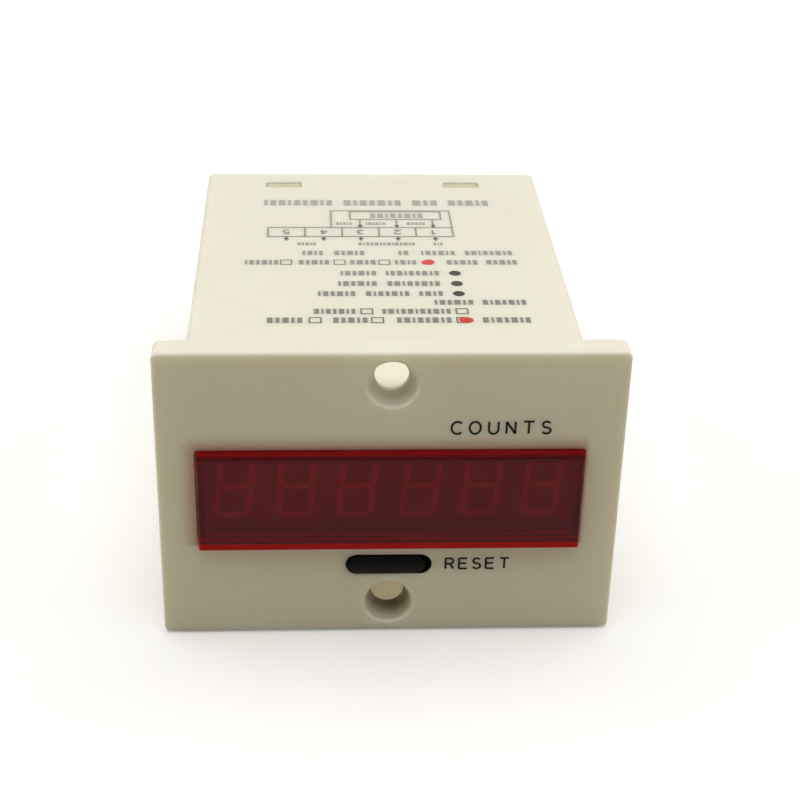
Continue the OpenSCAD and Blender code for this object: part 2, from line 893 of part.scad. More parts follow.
module memory_chip() {
    color(BLACK)
        dip_body(memory_x, row_y(4), memory_columns);
}

module optocoupler() {
    color(BLACK)
        dip_body(coupler_x, row_y(4), coupler_columns);
}

// A round lead that goes down through the main board from a given height
module lead(x, y, rise, grow) {
    translate([x, y, main_bottom - lead_tail])
        cylinder(r = lead_d / 2 + grow, h = board_t + lead_tail + rise);
}

// A wire part lying along Y: body, straight wire and two bent-down leads
module axial_part(x, y, r, length, reach) {
    translate([x, 0, main_top + r]) {
        bar_y(r, y - length / 2, length);
        bar_y(lead_d / 2, y - reach, 2 * reach);
    }
    axial_leads(x, y, r, reach, 0);
}

module axial_leads(x, y, r, reach, grow) {
    for (sy = [-1, 1])
        lead(x, y + sy * (reach - lead_d / 2), r + lead_d / 2, grow);
}

// Places of the parts that repeat along a row
function resistor_x(i) = (i - (resistor_n - 1) / 2) * resistor_step;
function driver_x(i) = (i - (driver_n - 1) / 2) * driver_step;

// Leads of every part with round leads, or the board holes for them
module lead_bars(grow) {
    for (i = [0 : resistor_n - 1])
        axial_leads(resistor_x(i), row_y(1), resistor_r, resistor_reach, grow);
    for (x = diode_xs)
        axial_leads(x, row_y(5), diode_r, diode_reach, grow);
    for (i = [0 : driver_n - 1], k = [-1, 0, 1])
        lead(driver_x(i) + k * lead_step, row_y(3), leg_rise + lead_sink, grow);
    for (x = disc_xs, k = [-1, 1])
        lead(x + k * lead_step, row_y(4), leg_rise + disc_r / 2, grow);
    for (i = [0 : len(can_xs) - 1], k = [-1, 1])
        lead(can_xs[i] + k * lead_step, row_y(5), can_foot + lead_sink, grow);
    for (k = [-1, 1])
        lead(crystal_x + k * crystal_d / 2, row_y(4), can_foot + lead_sink, grow);
    for (k = [-1, 0, 1])
        lead(regulator_x + k * pin_pitch, row_y(5), leg_rise + lead_sink, grow);
}

module crystal() {
    color(ALUMINIUM) {
        translate([crystal_x, row_y(4), main_top + can_foot])
            linear_extrude(crystal_h)
                oblong(crystal_w, crystal_d);
        for (k = [-1, 1])
            lead(crystal_x + k * crystal_d / 2, row_y(4), can_foot + lead_sink, 0);
    }
}

module driver_transistors() {
    color(BLACK)
        for (i = [0 : driver_n - 1]) {
            translate([driver_x(i), row_y(3), main_top + leg_rise])
                linear_extrude(driver_h)
                    intersection() {
                        circle(driver_r);
                        translate([-driver_r, -driver_flat])
                            square([2 * driver_r, driver_flat + driver_r]);
                    }
            for (k = [-1, 0, 1])
                lead(driver_x(i) + k * lead_step, row_y(3), leg_rise + lead_sink, 0);
        }
}

module resistors() {
    color(BEIGE)
        for (i = [0 : resistor_n - 1])
            axial_part(resistor_x(i), row_y(1), resistor_r, resistor_len, resistor_reach);
}

module diodes() {
    color(BLACK)
        for (x = diode_xs)
            axial_part(x, row_y(5), diode_r, diode_len, diode_reach);
}

module ceramic_capacitors() {
    color(CERAMIC)
        for (x = disc_xs) {
            translate([x, 0, main_top + leg_rise + disc_r - lead_d / 2])
                bar_y(disc_r, row_y(4) - disc_t / 2, disc_t);
            for (k = [-1, 1])
                lead(x + k * lead_step, row_y(4), leg_rise + disc_r / 2, 0);
        }
}

// Standing electrolytic cans with the crimp groove near the foot
module filter_capacitors() {
    color(SLEEVE)
        for (i = [0 : len(can_xs) - 1]) {
            translate([can_xs[i], row_y(5), main_top + can_foot])
                difference() {
                    cylinder(r = can_rs[i], h = can_hs[i]);
                    translate([0, 0, can_groove_z])
                        rotate_extrude()
                            translate([can_rs[i], 0])
                                circle(can_groove_r);
                }
            for (k = [-1, 1])
                lead(can_xs[i] + k * lead_step, row_y(5), can_foot + lead_sink, 0);
        }
}

module regulator_body() {
    color(BLACK) {
        translate([regulator_x - regulator_w / 2, row_y(5) - regulator_t / 2, main_top + leg_rise])
            cube([regulator_w, regulator_t - tab_t, regulator_h]);
        for (k = [-1, 0, 1])
            lead(regulator_x + k * pin_pitch, row_y(5), leg_rise + lead_sink, 0);
    }
}

// Metal tab behind the regulator, with its screw hole
module regulator_tab() {
    color(TINNED)
        translate([regulator_x, row_y(5) + regulator_t / 2 - tab_t, main_top + leg_rise])
            difference() {
                translate([-regulator_w / 2, 0, 0])
                    cube([regulator_w, tab_t, tab_h]);
                translate([0, 0, (regulator_h + tab_h) / 2])
                    bar_y(tab_hole_r, -tab_t, 3 * tab_t);
            }
}

// Middle of a terminal across the block
function way_x(i) = (i - (terminal_ways - 1) / 2) * way_pitch;

// Block with a bay for each terminal, open to the rear, and a bore for each screw
module terminal_block() {
    color(BLACK)
        difference() {
            facing(block_front, block_back - block_front)
                translate([0, block_z])
                    square([block_w, block_h], center = true);
            for (i = [0 : terminal_ways - 1])
                translate([way_x(i), 0, block_z]) {
                    facing(bay_floor, bay_depth + overcut)
                        square([bay_w, bay_h], center = true);
                    bar_y(thread_d / 2 + fit_gap, block_front + fit_gap, block_base + overcut);
                }
            contact_tails(lead_gap);
        }
}

// Tails of the contacts through the block's floor into the main board, or the cuts for them
module contact_tails(grow) {
    w = tail_w + 2 * grow;
    step_z = block_z - contact_h / 2;
    for (i = [0 : terminal_ways - 1])
        translate([way_x(i) - w / 2, 0, 0]) {
            translate([0, tail_y - contact_t / 2 - grow, main_bottom - lead_tail])
                cube([w, contact_t + 2 * grow, step_z + contact_t + grow - main_bottom + lead_tail]);
            translate([0, tail_y - contact_t / 2 - grow, step_z - grow])
                cube([w, bay_floor - tail_y + 1.5 * contact_t + grow, contact_t + 2 * grow]);
        }
}

module terminal_contacts() {
    color(BRASS) {
        difference() {
            for (i = [0 : terminal_ways - 1])
                facing(bay_floor, contact_t)
                    translate([way_x(i), block_z])
                        square([contact_w, contact_h], center = true);
            for (i = [0 : terminal_ways - 1])
                translate([way_x(i), 0, block_z])
                    bar_y(thread_d / 2 + fit_gap, bay_floor - overcut, contact_t + 2 * overcut);
        }
        contact_tails(0);
    }
}

// Square clamp plates under the screw heads
module terminal_clamps() {
    color(TINNED)
        for (i = [0 : terminal_ways - 1])
            translate([way_x(i), 0, block_z])
                difference() {
                    facing(bay_floor + contact_t, clamp_t)
                        square([clamp_w, clamp_w], center = true);
                    bar_y(thread_d / 2 + fit_gap, bay_floor, contact_t + clamp_t + overcut);
                }
}

// Half section of a screw head, rounded at its edge
module head_section() {
    square([head_d / 2, head_h - head_r]);
    square([head_d / 2 - head_r, head_h]);
    translate([head_d / 2 - head_r, head_h - head_r])
        circle(head_r);
}

// Screws with a slot across the head and a deeper cross in its middle
module terminal_screws() {
    seat = bay_floor + contact_t + clamp_t;
    color(TINNED)
        for (i = [0 : terminal_ways - 1])
            translate([way_x(i), 0, block_z])
                difference() {
                    union() {
                        translate([0, seat, 0])
                            rotate([-90, 0, 0])
                                rotate_extrude()
                                    head_section();
                        bar_y(thread_d / 2, seat - thread_len, thread_len + head_h / 2);
                    }
                    facing(seat + head_h - drive_slot_depth, head_h)
                        square([2 * head_d, drive_slot_w], center = true);
                    facing(seat + head_h - drive_cross_depth, head_h) {
                        square([drive_cross, drive_slot_w], center = true);
                        square([drive_slot_w, drive_cross], center = true);
                    }
                }
}

// Cover plate round the terminal block, with four arms whose hooks bite into the case windows
module rear_cover() {
    arm_w = snap_w - 2 * snap_play;
    color(IVORY) {
        facing(cover_front, cover_t)
            difference() {
                rounded(cover_w, cover_h, inner_corner_r);
                translate([0, block_z])
                    square([block_w + 2 * fit_gap, block_h + 2 * fit_gap], center = true);
            }
        for (sx = [-1, 1], sz = [-1, 1])
            translate([sx * snap_x, 0, 0])
                mirror([0, 0, sz < 0 ? 1 : 0])
                    across(arm_w)
                        snap_section();
    }
}

// Side view of a snap arm: strip along the case wall and a hook with a sloping lead-in
module snap_section() {
    outer = cover_h / 2;
    tip = outer + fit_gap + snap_bite;
    hook_back = snap_back - snap_play;
    hook_front = snap_front + snap_play;
    polygon([
        [cover_back, outer], [hook_back, outer], [hook_back, tip], [hook_back - snap_crest, tip],
        [hook_front, outer], [hook_front - snap_play, outer - snap_arm_t], [cover_back, outer - snap_arm_t]
    ]);
}

housing();
display_lens();
reset_button();
rear_cover();
led_module_left();
led_module_right();
digit_segments_left();
digit_segments_right();
module_pins();
display_board();
switch_base();
switch_cover();
switch_plunger();
switch_legs();
main_board();
header_strip();
header_pins();
microcontroller();
memory_chip();
optocoupler();
chip_legs();
crystal();
driver_transistors();
resistors();
ceramic_capacitors();
filter_capacitors();
diodes();
regulator_body();
regulator_tab();
terminal_block();
terminal_contacts();
terminal_clamps();
terminal_screws();
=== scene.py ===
# %% [markdown]
# # A panel counter, dressed in Blender
# The imported CAD model already has every solid of the counter at its true size and place: the ivory
# housing, the red window tray, the push-button, the display modules, the boards and the rear terminals.
# This lesson adds what solids don't carry: print, moulded numbers, and a finish for every node. The frame
# comes in first.

# %% Load the frame
import json
import math

import bpy
import numpy as np
from mathutils import Matrix, Vector


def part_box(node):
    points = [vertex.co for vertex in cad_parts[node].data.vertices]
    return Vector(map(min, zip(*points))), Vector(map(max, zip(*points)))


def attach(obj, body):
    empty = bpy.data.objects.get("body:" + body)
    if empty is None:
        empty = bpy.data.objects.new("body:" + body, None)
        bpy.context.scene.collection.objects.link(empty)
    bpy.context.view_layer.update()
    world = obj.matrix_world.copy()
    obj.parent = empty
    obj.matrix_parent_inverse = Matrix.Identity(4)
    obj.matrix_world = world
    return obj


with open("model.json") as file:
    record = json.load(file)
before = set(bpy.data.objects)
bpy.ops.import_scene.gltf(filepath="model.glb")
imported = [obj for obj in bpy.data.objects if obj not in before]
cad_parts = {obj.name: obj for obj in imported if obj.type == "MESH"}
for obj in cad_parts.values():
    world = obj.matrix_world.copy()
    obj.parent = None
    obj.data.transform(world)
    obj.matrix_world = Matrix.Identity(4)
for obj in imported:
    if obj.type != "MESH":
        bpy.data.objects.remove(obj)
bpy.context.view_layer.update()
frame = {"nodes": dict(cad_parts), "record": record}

nodes = frame["nodes"]
MM = 0.001

# %% [markdown]
# ## Camera
# The camera was found by fitting a pinhole to the corners of the front plate and the edges of the case,
# so its place is known in millimetres. Blender could aim it with a constraint, but a matrix is exact: its
# columns are the picture's right, its up, and the direction back towards the viewer.

# %% Camera
PICTURE_PX = 800
FOCAL_PX = 1689.72
SENSOR_MM = 36.0
NEAR_CLIP = 10 * MM
EYE_MM = Vector((-10.254, -189.332, 116.279))
LOOK = Vector((0.05277, 0.87551, -0.48032)).normalized()
ROLL_RIGHT = Vector((0.99860, -0.04812, 0.02199))

camera = bpy.data.objects.new("Camera", bpy.data.cameras.new("Camera"))
bpy.context.scene.collection.objects.link(camera)
bpy.context.scene.camera = camera
camera.data.sensor_width = SENSOR_MM
camera.data.lens = FOCAL_PX / PICTURE_PX * SENSOR_MM
camera.data.clip_start = NEAR_CLIP
right = (ROLL_RIGHT - LOOK * ROLL_RIGHT.dot(LOOK)).normalized()
up = right.cross(LOOK)
turn = Matrix((right, up, -LOOK)).transposed().to_4x4()
camera.matrix_world = Matrix.Translation(EYE_MM * MM) @ turn
print("camera lens in mm:", round(camera.data.lens, 2))

# %% [markdown]
# ## Shader arithmetic
# Node trees are easier to read as sums. This small class wraps one output socket: adding, subtracting,
# multiplying or dividing wires adds a Math node, and `add` makes any other node from its type, its settings
# and its sockets. Colours go through Mix and vectors through Vector Math, because a Math node would turn
# them into one grey number.

# %% Wires
class Wire:
    """One output socket of a node tree, with the operators that finishes need."""

    def __init__(self, tree, socket):
        self.tree, self.socket = tree, socket

    def add(self, kind, settings=None, sockets=None, out=0):
        """Makes a node: settings are set first, then each socket gets a link or a value. Gives one output."""
        node = self.tree.nodes.new("ShaderNode" + kind)
        for key, value in (settings or {}).items():
            setattr(node, key, value)
        for key, value in (sockets or {}).items():
            feed(self.tree, node.inputs[key], value)
        return Wire(self.tree, node.outputs[out])

    def math(self, operation, other=0.0, swap=False):
        """A Math node on this wire and another wire or number. With swap, the other one comes first."""
        pair = (other, self) if swap else (self, other)
        return self.add("Math", {"operation": operation}, {0: pair[0], 1: pair[1]})

    def __add__(self, other):
        return self.math("ADD", other)

    def __sub__(self, other):
        return self.math("SUBTRACT", other)

    def __rsub__(self, other):
        return self.math("SUBTRACT", other, swap=True)

    def __mul__(self, other):
        return self.math("MULTIPLY", other)

    def __truediv__(self, other):
        return self.math("DIVIDE", other)

    __radd__, __rmul__ = __add__, __mul__

    def step(self, low, high):
        """0 below low, 1 above high, and a smooth rise between them."""
        return self.add("MapRange", {"interpolation_type": "SMOOTHSTEP"},
                        {"Value": self, "From Min": low, "From Max": high})

    def fall(self, low, high):
        """1 below low, 0 above high, and a smooth fall between them."""
        return 1.0 - self.step(low, high)

    def reach(self, other):
        """The length of an arrow whose two sides are this wire and another one."""
        return (self * self + other * other).math("SQRT")

    def fold(self, pitch):
        """The distance from the nearest multiple of a spacing, with its sign."""
        return ((self / pitch + 0.5).math("FRACT") - 0.5) * pitch

    def mix(self, a, b):
        """Colour a where this wire is 0 and colour b where it is 1."""
        return self.add("Mix", {"data_type": "RGBA"}, {0: self, 6: a, 7: b}, out=2)

    def noise(self, scale, detail=2.0, rough=0.5, stretch=(1.0, 1.0, 1.0)):
        """Soft noise over the coordinates on this wire, with features of about 1 / scale metres."""
        where = self.add("VectorMath", {"operation": "MULTIPLY"}, {0: self, 1: stretch})
        return self.add("TexNoise", None,
                        {"Vector": where, "Scale": scale, "Detail": detail, "Roughness": rough})

    def bump(self, height, strength):
        """A normal that leans with this wire, taken as a relief of that height in metres."""
        return self.add("Bump", None, {"Height": self, "Distance": height, "Strength": strength})

    def axes(self):
        """The x, y and z of a vector as three wires."""
        split = self.tree.nodes.new("ShaderNodeSeparateXYZ")
        feed(self.tree, split.inputs[0], self)
        return [Wire(self.tree, socket) for socket in split.outputs]


def feed(tree, socket, value):
    """Links a wire into a socket, or sets the socket's own value. A colour gets its alpha."""
    if isinstance(value, Wire):
        tree.links.new(value.socket, socket)
    elif socket.type == "RGBA":
        socket.default_value = (*value[:3], 1.0)
    else:
        socket.default_value = value


def coordinates(tree, kind="Object"):
    """A wire of coordinates: Object ones are the frame's metres, Generated ones a world's directions."""
    return Wire(tree, tree.nodes.new("ShaderNodeTexCoord").outputs[kind])


print("wires ready")

# %% [markdown]
# ## Floor
# The counter lies on a white table: the lower edge of its front plate and the rear lower edge of its case
# touch it, so the table leans a little against the counter's own frame. The table shows white to the
# camera, to reflections and through glass. Most of that is lit for real, so that the shadow stays, and a
# faint glow keeps the shadow from turning grey: it is warmer below the case, like light that has passed
# through ivory plastic, and nearly white far away. For bounced light the table is a darker warm tone, which
# keeps the front plate in soft shade while the top is in full light.

# %% Floor
CASE_HALF = 14.0 * MM
FLOOR_REACH = 4.0
FLOOR_POINTS = 9
housing_lo, housing_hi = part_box("housing")
plate_foot = housing_lo.z
case_foot = -CASE_HALF
case_rear = housing_hi.y


def table_sheet(reach):
    """A flat sheet: x and y run over a grid, and z climbs from the plate's foot to the case's rear foot."""
    along = np.linspace(-reach, reach, FLOOR_POINTS)
    x, y = np.meshgrid(along, along)
    z = plate_foot + (case_foot - plate_foot) * y / case_rear
    return np.stack([x, y, z], axis=-1)


def grid_faces(n, m):
    """The quads between n rows of m points each."""
    i = np.arange(n * m).reshape(n, m)
    return np.stack([i[:-1, :-1], i[:-1, 1:], i[1:, 1:], i[1:, :-1]], axis=-1).reshape(-1, 4).tolist()


def new_piece(name, points, faces):
    """An object from points and faces, linked into the scene."""
    mesh = bpy.data.meshes.new(name)
    mesh.from_pydata(points.tolist(), [], faces)
    mesh.update()
    piece = bpy.data.objects.new(name, mesh)
    bpy.context.scene.collection.objects.link(piece)
    return piece


floor = new_piece("floor", table_sheet(FLOOR_REACH).reshape(-1, 3), grid_faces(FLOOR_POINTS, FLOOR_POINTS))
print("floor leans by", round(math.degrees(math.atan2(case_foot - plate_foot, case_rear)), 2), "degrees")

# %% Floor finish
SEEN_WHITE = (0.95, 0.95, 0.95)
SEEN_GLOW = (0.18, 0.178, 0.174)
UNDER_GLOW = (0.24, 0.19, 0.11)
FAR_GLOW = (0.9, 0.9, 0.9)
BOUNCE_TONE = (0.59, 0.54, 0.405)
UNDER_SIDES = (20 * MM, 27 * MM)
UNDER_FRONT = (-1 * MM, 1 * MM)
UNDER_REAR = (case_rear - 12 * MM, case_rear)
FAR_RANGE = (0.2, 0.8)


def seen_rays(tree):
    """1 for rays from the camera, from reflections and through glass, and 0 for bounced light."""
    path = tree.nodes.new("ShaderNodeLightPath")
    kinds = ("Is Camera Ray", "Is Glossy Ray", "Is Transmission Ray")
    direct, mirrored, through = [Wire(tree, path.outputs[kind]) for kind in kinds]
    return direct.math("MAXIMUM", mirrored).math("MAXIMUM", through)


def table_finish():
    """White with a glow for seen rays, and a plain darker tone for bounced light."""
    material = bpy.data.materials.new("table_white")
    material.use_nodes = True
    tree = material.node_tree
    tree.nodes.remove(tree.nodes["Principled BSDF"])
    seen = seen_rays(tree)
    x, y, _ = coordinates(tree).axes()
    under = x.math("ABSOLUTE").fall(*UNDER_SIDES) * y.step(*UNDER_FRONT) * y.fall(*UNDER_REAR)
    far = x.reach(y).step(*FAR_RANGE)
    glow_tone = far.mix(under.mix(SEEN_GLOW, UNDER_GLOW), FAR_GLOW)
    lit = seen.add("BsdfDiffuse", None, {"Color": SEEN_WHITE})
    glow = seen.add("Emission", None, {"Color": glow_tone, "Strength": 1.0})
    shown = seen.add("AddShader", None, {0: lit, 1: glow})
    bounce = seen.add("BsdfDiffuse", None, {"Color": BOUNCE_TONE})
    table = seen.add("MixShader", None, {0: seen, 1: bounce, 2: shown})
    feed(tree, tree.nodes["Material Output"].inputs["Surface"], table)
    return material


floor.data.materials.append(table_finish())
print("floor finish:", floor.data.materials[0].name)

# %% [markdown]
# ## Surroundings and lamp
# The surroundings act as a light tent. What the camera sees of them is white, but the light that they give
# depends on its direction: little from the front, more from the rear, and most from both sides, which sets
# off the edges of the plate. One wide softbox hangs above and a little in front, and makes the soft shadow
# under the case. A picture of a studio could light the scene too, but these few numbers can be changed one
# by one.

# %% Surroundings
WHITE = (1.0, 1.0, 1.0)
FILL_TONE = (1.0, 0.96, 0.88)
FILL_FRONT = 0.06
FILL_REAR = 0.30
FILL_SIDES = 0.95
REAR_RANGE = (-0.5, 0.3)
SIDE_RANGE = (0.5, 0.8)
SIDE_START = (-0.6, -0.1)

world = bpy.data.worlds.new("studio")
bpy.context.scene.world = world
world.use_nodes = True
tree = world.node_tree
tree.nodes.remove(tree.nodes["Background"])
seen = seen_rays(tree)
across, back, _ = coordinates(tree, "Generated").axes()
rear_part = back.step(*REAR_RANGE)
side_part = across.math("ABSOLUTE").step(*SIDE_RANGE) * back.step(*SIDE_START)
fill_level = FILL_FRONT + rear_part * FILL_REAR + side_part * FILL_SIDES
fill = seen.add("Background", None, {"Color": FILL_TONE, "Strength": fill_level})
white = seen.add("Background", None, {"Color": WHITE, "Strength": 1.0})
around = seen.add("MixShader", None, {0: seen, 1: fill, 2: white})
feed(tree, tree.nodes["World Output"].inputs["Surface"], around)
bpy.context.scene.view_settings.view_transform = "Standard"
print("surroundings:", world.name)

# %% Lamp
SOFTBOX_PLACE = Vector((0.0, -0.05, 0.80))
SOFTBOX_SIDE = 0.8
SOFTBOX_WATTS = 4.85
AIM = Vector((0.0, 0.03, 0.0))

softbox = bpy.data.objects.new("softbox_above", bpy.data.lights.new("softbox_above", "AREA"))
softbox.data.size = SOFTBOX_SIDE
softbox.data.energy = SOFTBOX_WATTS
softbox.location = SOFTBOX_PLACE
softbox.rotation_mode = "QUATERNION"
softbox.rotation_quaternion = (AIM - SOFTBOX_PLACE).to_track_quat("-Z", "Y")
bpy.context.scene.collection.objects.link(softbox)
print("lamp:", softbox.name)

# %% [markdown]
# ## Ivory plastic
# The housing and the rear cover are moulded in an ivory plastic with a satin grain from the mould. A flat
# colour would look like paper: real mouldings have slight clouds of tone, a grain finer than half a
# millimetre, faint rubs and edges that handling has polished. Light also goes a millimetre or two into the
# plastic and comes out beside the place where it went in. Subsurface gives that: it softens the shade at
# edges and lets thin walls glow. The edges are found with a Bevel node: where its rounded normal leaves the
# true one, the surface is near an edge.

# %% Finish tools
EDGE_LEAN = (0.01, 0.25)


def srgb(r, g, b):
    """A colour as a picture editor names it, 0 to 255, as the linear numbers that shaders take."""
    c = np.array([r, g, b]) / 255.0
    return tuple(np.where(c <= 0.04045, c / 12.92, ((c + 0.055) / 1.055) ** 2.4).tolist())


def new_finish(name):
    """A material with its main shader, and a wire of Object coordinates."""
    material = bpy.data.materials.new(name + "_finish")
    material.use_nodes = True
    return material, coordinates(material.node_tree)


def shade(material, sockets):
    """Sets or links the main shader's sockets."""
    shader = material.node_tree.nodes["Principled BSDF"]
    for key, value in sockets.items():
        feed(material.node_tree, shader.inputs[key], value)
    return material


def edge_mask(where, radius):
    """1 on a piece's edges and 0 on its flats, from the angle between the bevelled and the true normal."""
    eased = where.add("Bevel", {"samples": 4}, {"Radius": radius})
    true = where.add("NewGeometry", out="Normal")
    agree = where.add("VectorMath", {"operation": "DOT_PRODUCT"}, {0: eased, 1: true}, out="Value")
    return (1.0 - agree).step(*EDGE_LEAN)


print("finish tools ready")

# %% [markdown]
# ## Marks on the front plate
# Three marks of painted shade lie on the plate by place. The screw holes are painted darker inside, more
# in the lower one and on the right. The walls of the button's slot are painted dark, because hardly any light
# gets past the button. And the plate is painted darker and redder along the window's upper and left edges,
# as painted shade with painted red light from the window. Each mark is a mask, 1 where it is and 0 elsewhere,
# worked out from the distance to the hole, the slot or the window. A picture painted by hand could do the
# same, but a mask needs no unwrapping and stays sharp from near by.

# %% Painted shade in the screw holes
# Painted shade: the tone the walls of the screw holes take on, more of it deeper inside.
HOLE_SHADE = srgb(150, 138, 98)
SCREW_Z = 16.5 * MM
HOLE_EDGE = (3.25 * MM, 3.45 * MM)
PLATE_BACK = (0.1 * MM, 0.2 * MM)
LOWER_HALF = (-1.0 * MM, 1.0 * MM)
MOUTH_DEPTH = (0.25 * MM, 0.5 * MM)
MOUTH_SHADE = 0.3
MOUTH_SHADE_BELOW = 0.15
WALL_DEPTH = (0.4 * MM, 2.4 * MM)
WALL_SHADE = 0.25
WALL_SHADE_BELOW = 0.25
SHADE_SIDES = (-2.0 * MM, 2.0 * MM)
SHADE_LEFT = 0.65
plate_front = housing_lo.y


def screw_soil(where):
    """The share of painted shade in the two screw holes, 0 on the face: it starts at the mouth, grows with
    the depth, and is stronger on the right and in the lower hole."""
    x, y, z = where.axes()
    hole = x.reach(z.math("ABSOLUTE") - SCREW_Z).fall(*HOLE_EDGE) * y.fall(*PLATE_BACK)
    below = z.fall(*LOWER_HALF)
    depth = y - plate_front
    mouth = depth.step(*MOUTH_DEPTH) * (MOUTH_SHADE + below * MOUTH_SHADE_BELOW)
    wall = depth.step(*WALL_DEPTH) * (WALL_SHADE + below * WALL_SHADE_BELOW)
    side = SHADE_LEFT + x.step(*SHADE_SIDES) * (1.0 - SHADE_LEFT)
    return hole * side * (mouth + wall)


print("soil depth in mm:", [round(depth / MM, 2) for depth in WALL_DEPTH])

# %% Dark walls of the button's slot
SLOT_DARK = srgb(24, 21, 19)
EAR_REACH = 0.5 * MM
SLOT_GAP = 0.25 * MM
SLOT_DEPTH = (0.05 * MM, 0.2 * MM)
SOFT_EDGE = 0.1 * MM
button_lo, button_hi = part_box("reset_button")
button_x = (button_lo.x + button_hi.x) / 2
button_z = (button_lo.z + button_hi.z) / 2
slot_half_x = (button_hi.x - button_lo.x) / 2 - EAR_REACH
slot_half_z = (button_hi.z - button_lo.z) / 2 + SLOT_GAP


def slot_shade(where):
    """1 on the walls of the button's slot and 0 elsewhere: a box round the button, behind the face."""
    x, y, z = where.axes()
    inside_x = (x - button_x).math("ABSOLUTE").fall(slot_half_x, slot_half_x + SOFT_EDGE)
    inside_z = (z - button_z).math("ABSOLUTE").fall(slot_half_z, slot_half_z + SOFT_EDGE)
    return inside_x * inside_z * (y - plate_front).step(*SLOT_DEPTH) * y.fall(*PLATE_BACK)


print("slot height in mm:", round(2 * slot_half_z / MM, 2))

# %% Painted shade and red light beside the window
# Painted shade with painted red light: the tone the plate takes beside the window's upper and left edges.
WINDOW_SHADE_RED = srgb(210, 190, 166)
WINDOW_SHADE_REACH = 2.4 * MM
LENS_FOOT = -7.45 * MM
LENS_HEAD = 7.05 * MM
LENS_END = 25.0 * MM
WINDOW_SHADE_RIGHT = (LENS_END, LENS_END + 0.6 * MM)
WINDOW_SHADE_FOOT = (LENS_FOOT - 0.2 * MM, LENS_FOOT + 0.4 * MM)
PLATE_FACE = (plate_front + 0.05 * MM, plate_front + 0.15 * MM)


def lens_blush(where):
    """1 on the plate's face at the window's upper and left edges, fading with the distance from them. There
    the plate is painted darker and redder.
    """
    x, y, z = where.axes()
    above = (z - LENS_HEAD).math("MAXIMUM", 0.0)
    beside = (-LENS_END - x).math("MAXIMUM", 0.0)
    near = above.reach(beside).fall(0.0, WINDOW_SHADE_REACH)
    return near * x.fall(*WINDOW_SHADE_RIGHT) * z.step(*WINDOW_SHADE_FOOT) * y.fall(*PLATE_FACE)


print("tint reaches in mm:", round(WINDOW_SHADE_REACH / MM, 2))

# %% Ivory finishes
IVORY = srgb(238, 235, 217)
IVORY_DEEP = srgb(235, 231, 212)
IVORY_WORN = srgb(243, 241, 228)
COVER_IVORY = srgb(214, 210, 172)
COVER_DEEP = srgb(208, 203, 164)
COVER_SHIFT = 0.31
IVORY_EDGE = 0.4 * MM
WORN_SHARE = 0.5
SPECK_SHARE = 0.15
SATIN = 0.44
GRAIN_HEIGHT = 0.012 * MM
PLASTIC_IOR = 1.46
SOFT_SHARE = 0.9
SOFT_TINT = (1.0, 0.97, 0.85)
SOFT_DEPTH = 1.7 * MM


def ivory_finish(name, fair, deep, shift):
    """Satin moulded plastic between two close tones, with worn edges, specks, the plate's painted shade and
    painted red light, faint rubs in the gloss and a fine grain. The shift moves the patterns, so that two
    mouldings differ."""
    material, where = new_finish(name)
    moved = where.add("VectorMath", {"operation": "ADD"}, {0: where, 1: (shift, 0.0, 0.0)})
    clouds = moved.noise(70.0, 3.0)
    specks = moved.noise(900.0, 1.0).step(0.70, 0.78)
    rubs = moved.noise(160.0, 4.0, 0.6, (1.0, 0.12, 0.6)).step(0.56, 0.74)
    grain = moved.noise(3800.0)
    tone = clouds.step(0.25, 0.75).mix(fair, deep)
    tone = (edge_mask(where, IVORY_EDGE) * WORN_SHARE).mix(tone, IVORY_WORN)
    tone = (specks * SPECK_SHARE).mix(tone, deep)
    # Painted shade in the screw holes and the button's slot, and painted shade with red light beside the
    # window.
    tone = screw_soil(where).mix(tone, HOLE_SHADE)
    tone = slot_shade(where).mix(tone, SLOT_DARK)
    tone = lens_blush(where).mix(tone, WINDOW_SHADE_RED)
    return shade(material, {
        "Base Color": tone,
        "Roughness": SATIN + (clouds - 0.5) * 0.08 - rubs * 0.05,
        "Normal": (grain + clouds * 1.5).bump(GRAIN_HEIGHT, 0.6),
        "IOR": PLASTIC_IOR,
        "Subsurface Weight": SOFT_SHARE,
        "Subsurface Radius": SOFT_TINT,
        "Subsurface Scale": SOFT_DEPTH,
    })


ivory_plastic = ivory_finish("ivory_plastic", IVORY, IVORY_DEEP, 0.0)
cover_ivory = ivory_finish("cover_ivory", COVER_IVORY, COVER_DEEP, COVER_SHIFT)
print("ivory finishes:", ivory_plastic.name, cover_ivory.name)

# %% [markdown]
# ## Red window
# The window is a tray moulded in clear red plastic. Glass with a red tint lets the real display show
# through. Its index of refraction is below that of acrylic, because the digits then show at the height at
# which they are seen on the real counter. The tray's walls are seen through their thickness, where the
# plastic scatters: a Mix Shader goes over to a plain red body on the foot, in a thin stripe above it, on the
# head and at the ends. Along the front's upper edge it goes over to a darker body instead, which is painted
# shade. The inner walls are painted dark in the lower half, as painted shade. Slight smears on the face
# change its roughness, and a long, very low wave keeps its reflections from being too perfect.

# %% Places on the window
lens_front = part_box("display_lens")[0].y
FOOT_BAR = (LENS_FOOT + 1.1 * MM, LENS_FOOT + 1.3 * MM)
STRIPE_START = (LENS_FOOT + 1.6 * MM, LENS_FOOT + 1.75 * MM)
STRIPE_STOP = (LENS_FOOT + 2.05 * MM, LENS_FOOT + 2.2 * MM)
SHELF = (LENS_FOOT + 2.3 * MM, LENS_FOOT + 2.5 * MM)
UPPER_EDGE = (LENS_HEAD - 0.75 * MM, LENS_HEAD - 0.6 * MM)
HEAD_WALL = (LENS_HEAD - 0.25 * MM, LENS_HEAD - 0.15 * MM)
END_WALLS = (LENS_END - 0.5 * MM, LENS_END - 0.3 * MM)
FRONT_SKIN = (lens_front + 0.25 * MM, lens_front + 0.45 * MM)
INNER_WALLS = (lens_front + 1.6 * MM, lens_front + 1.6 * MM + SOFT_EDGE)
print("window height in mm:", round((LENS_HEAD - LENS_FOOT) / MM, 2))

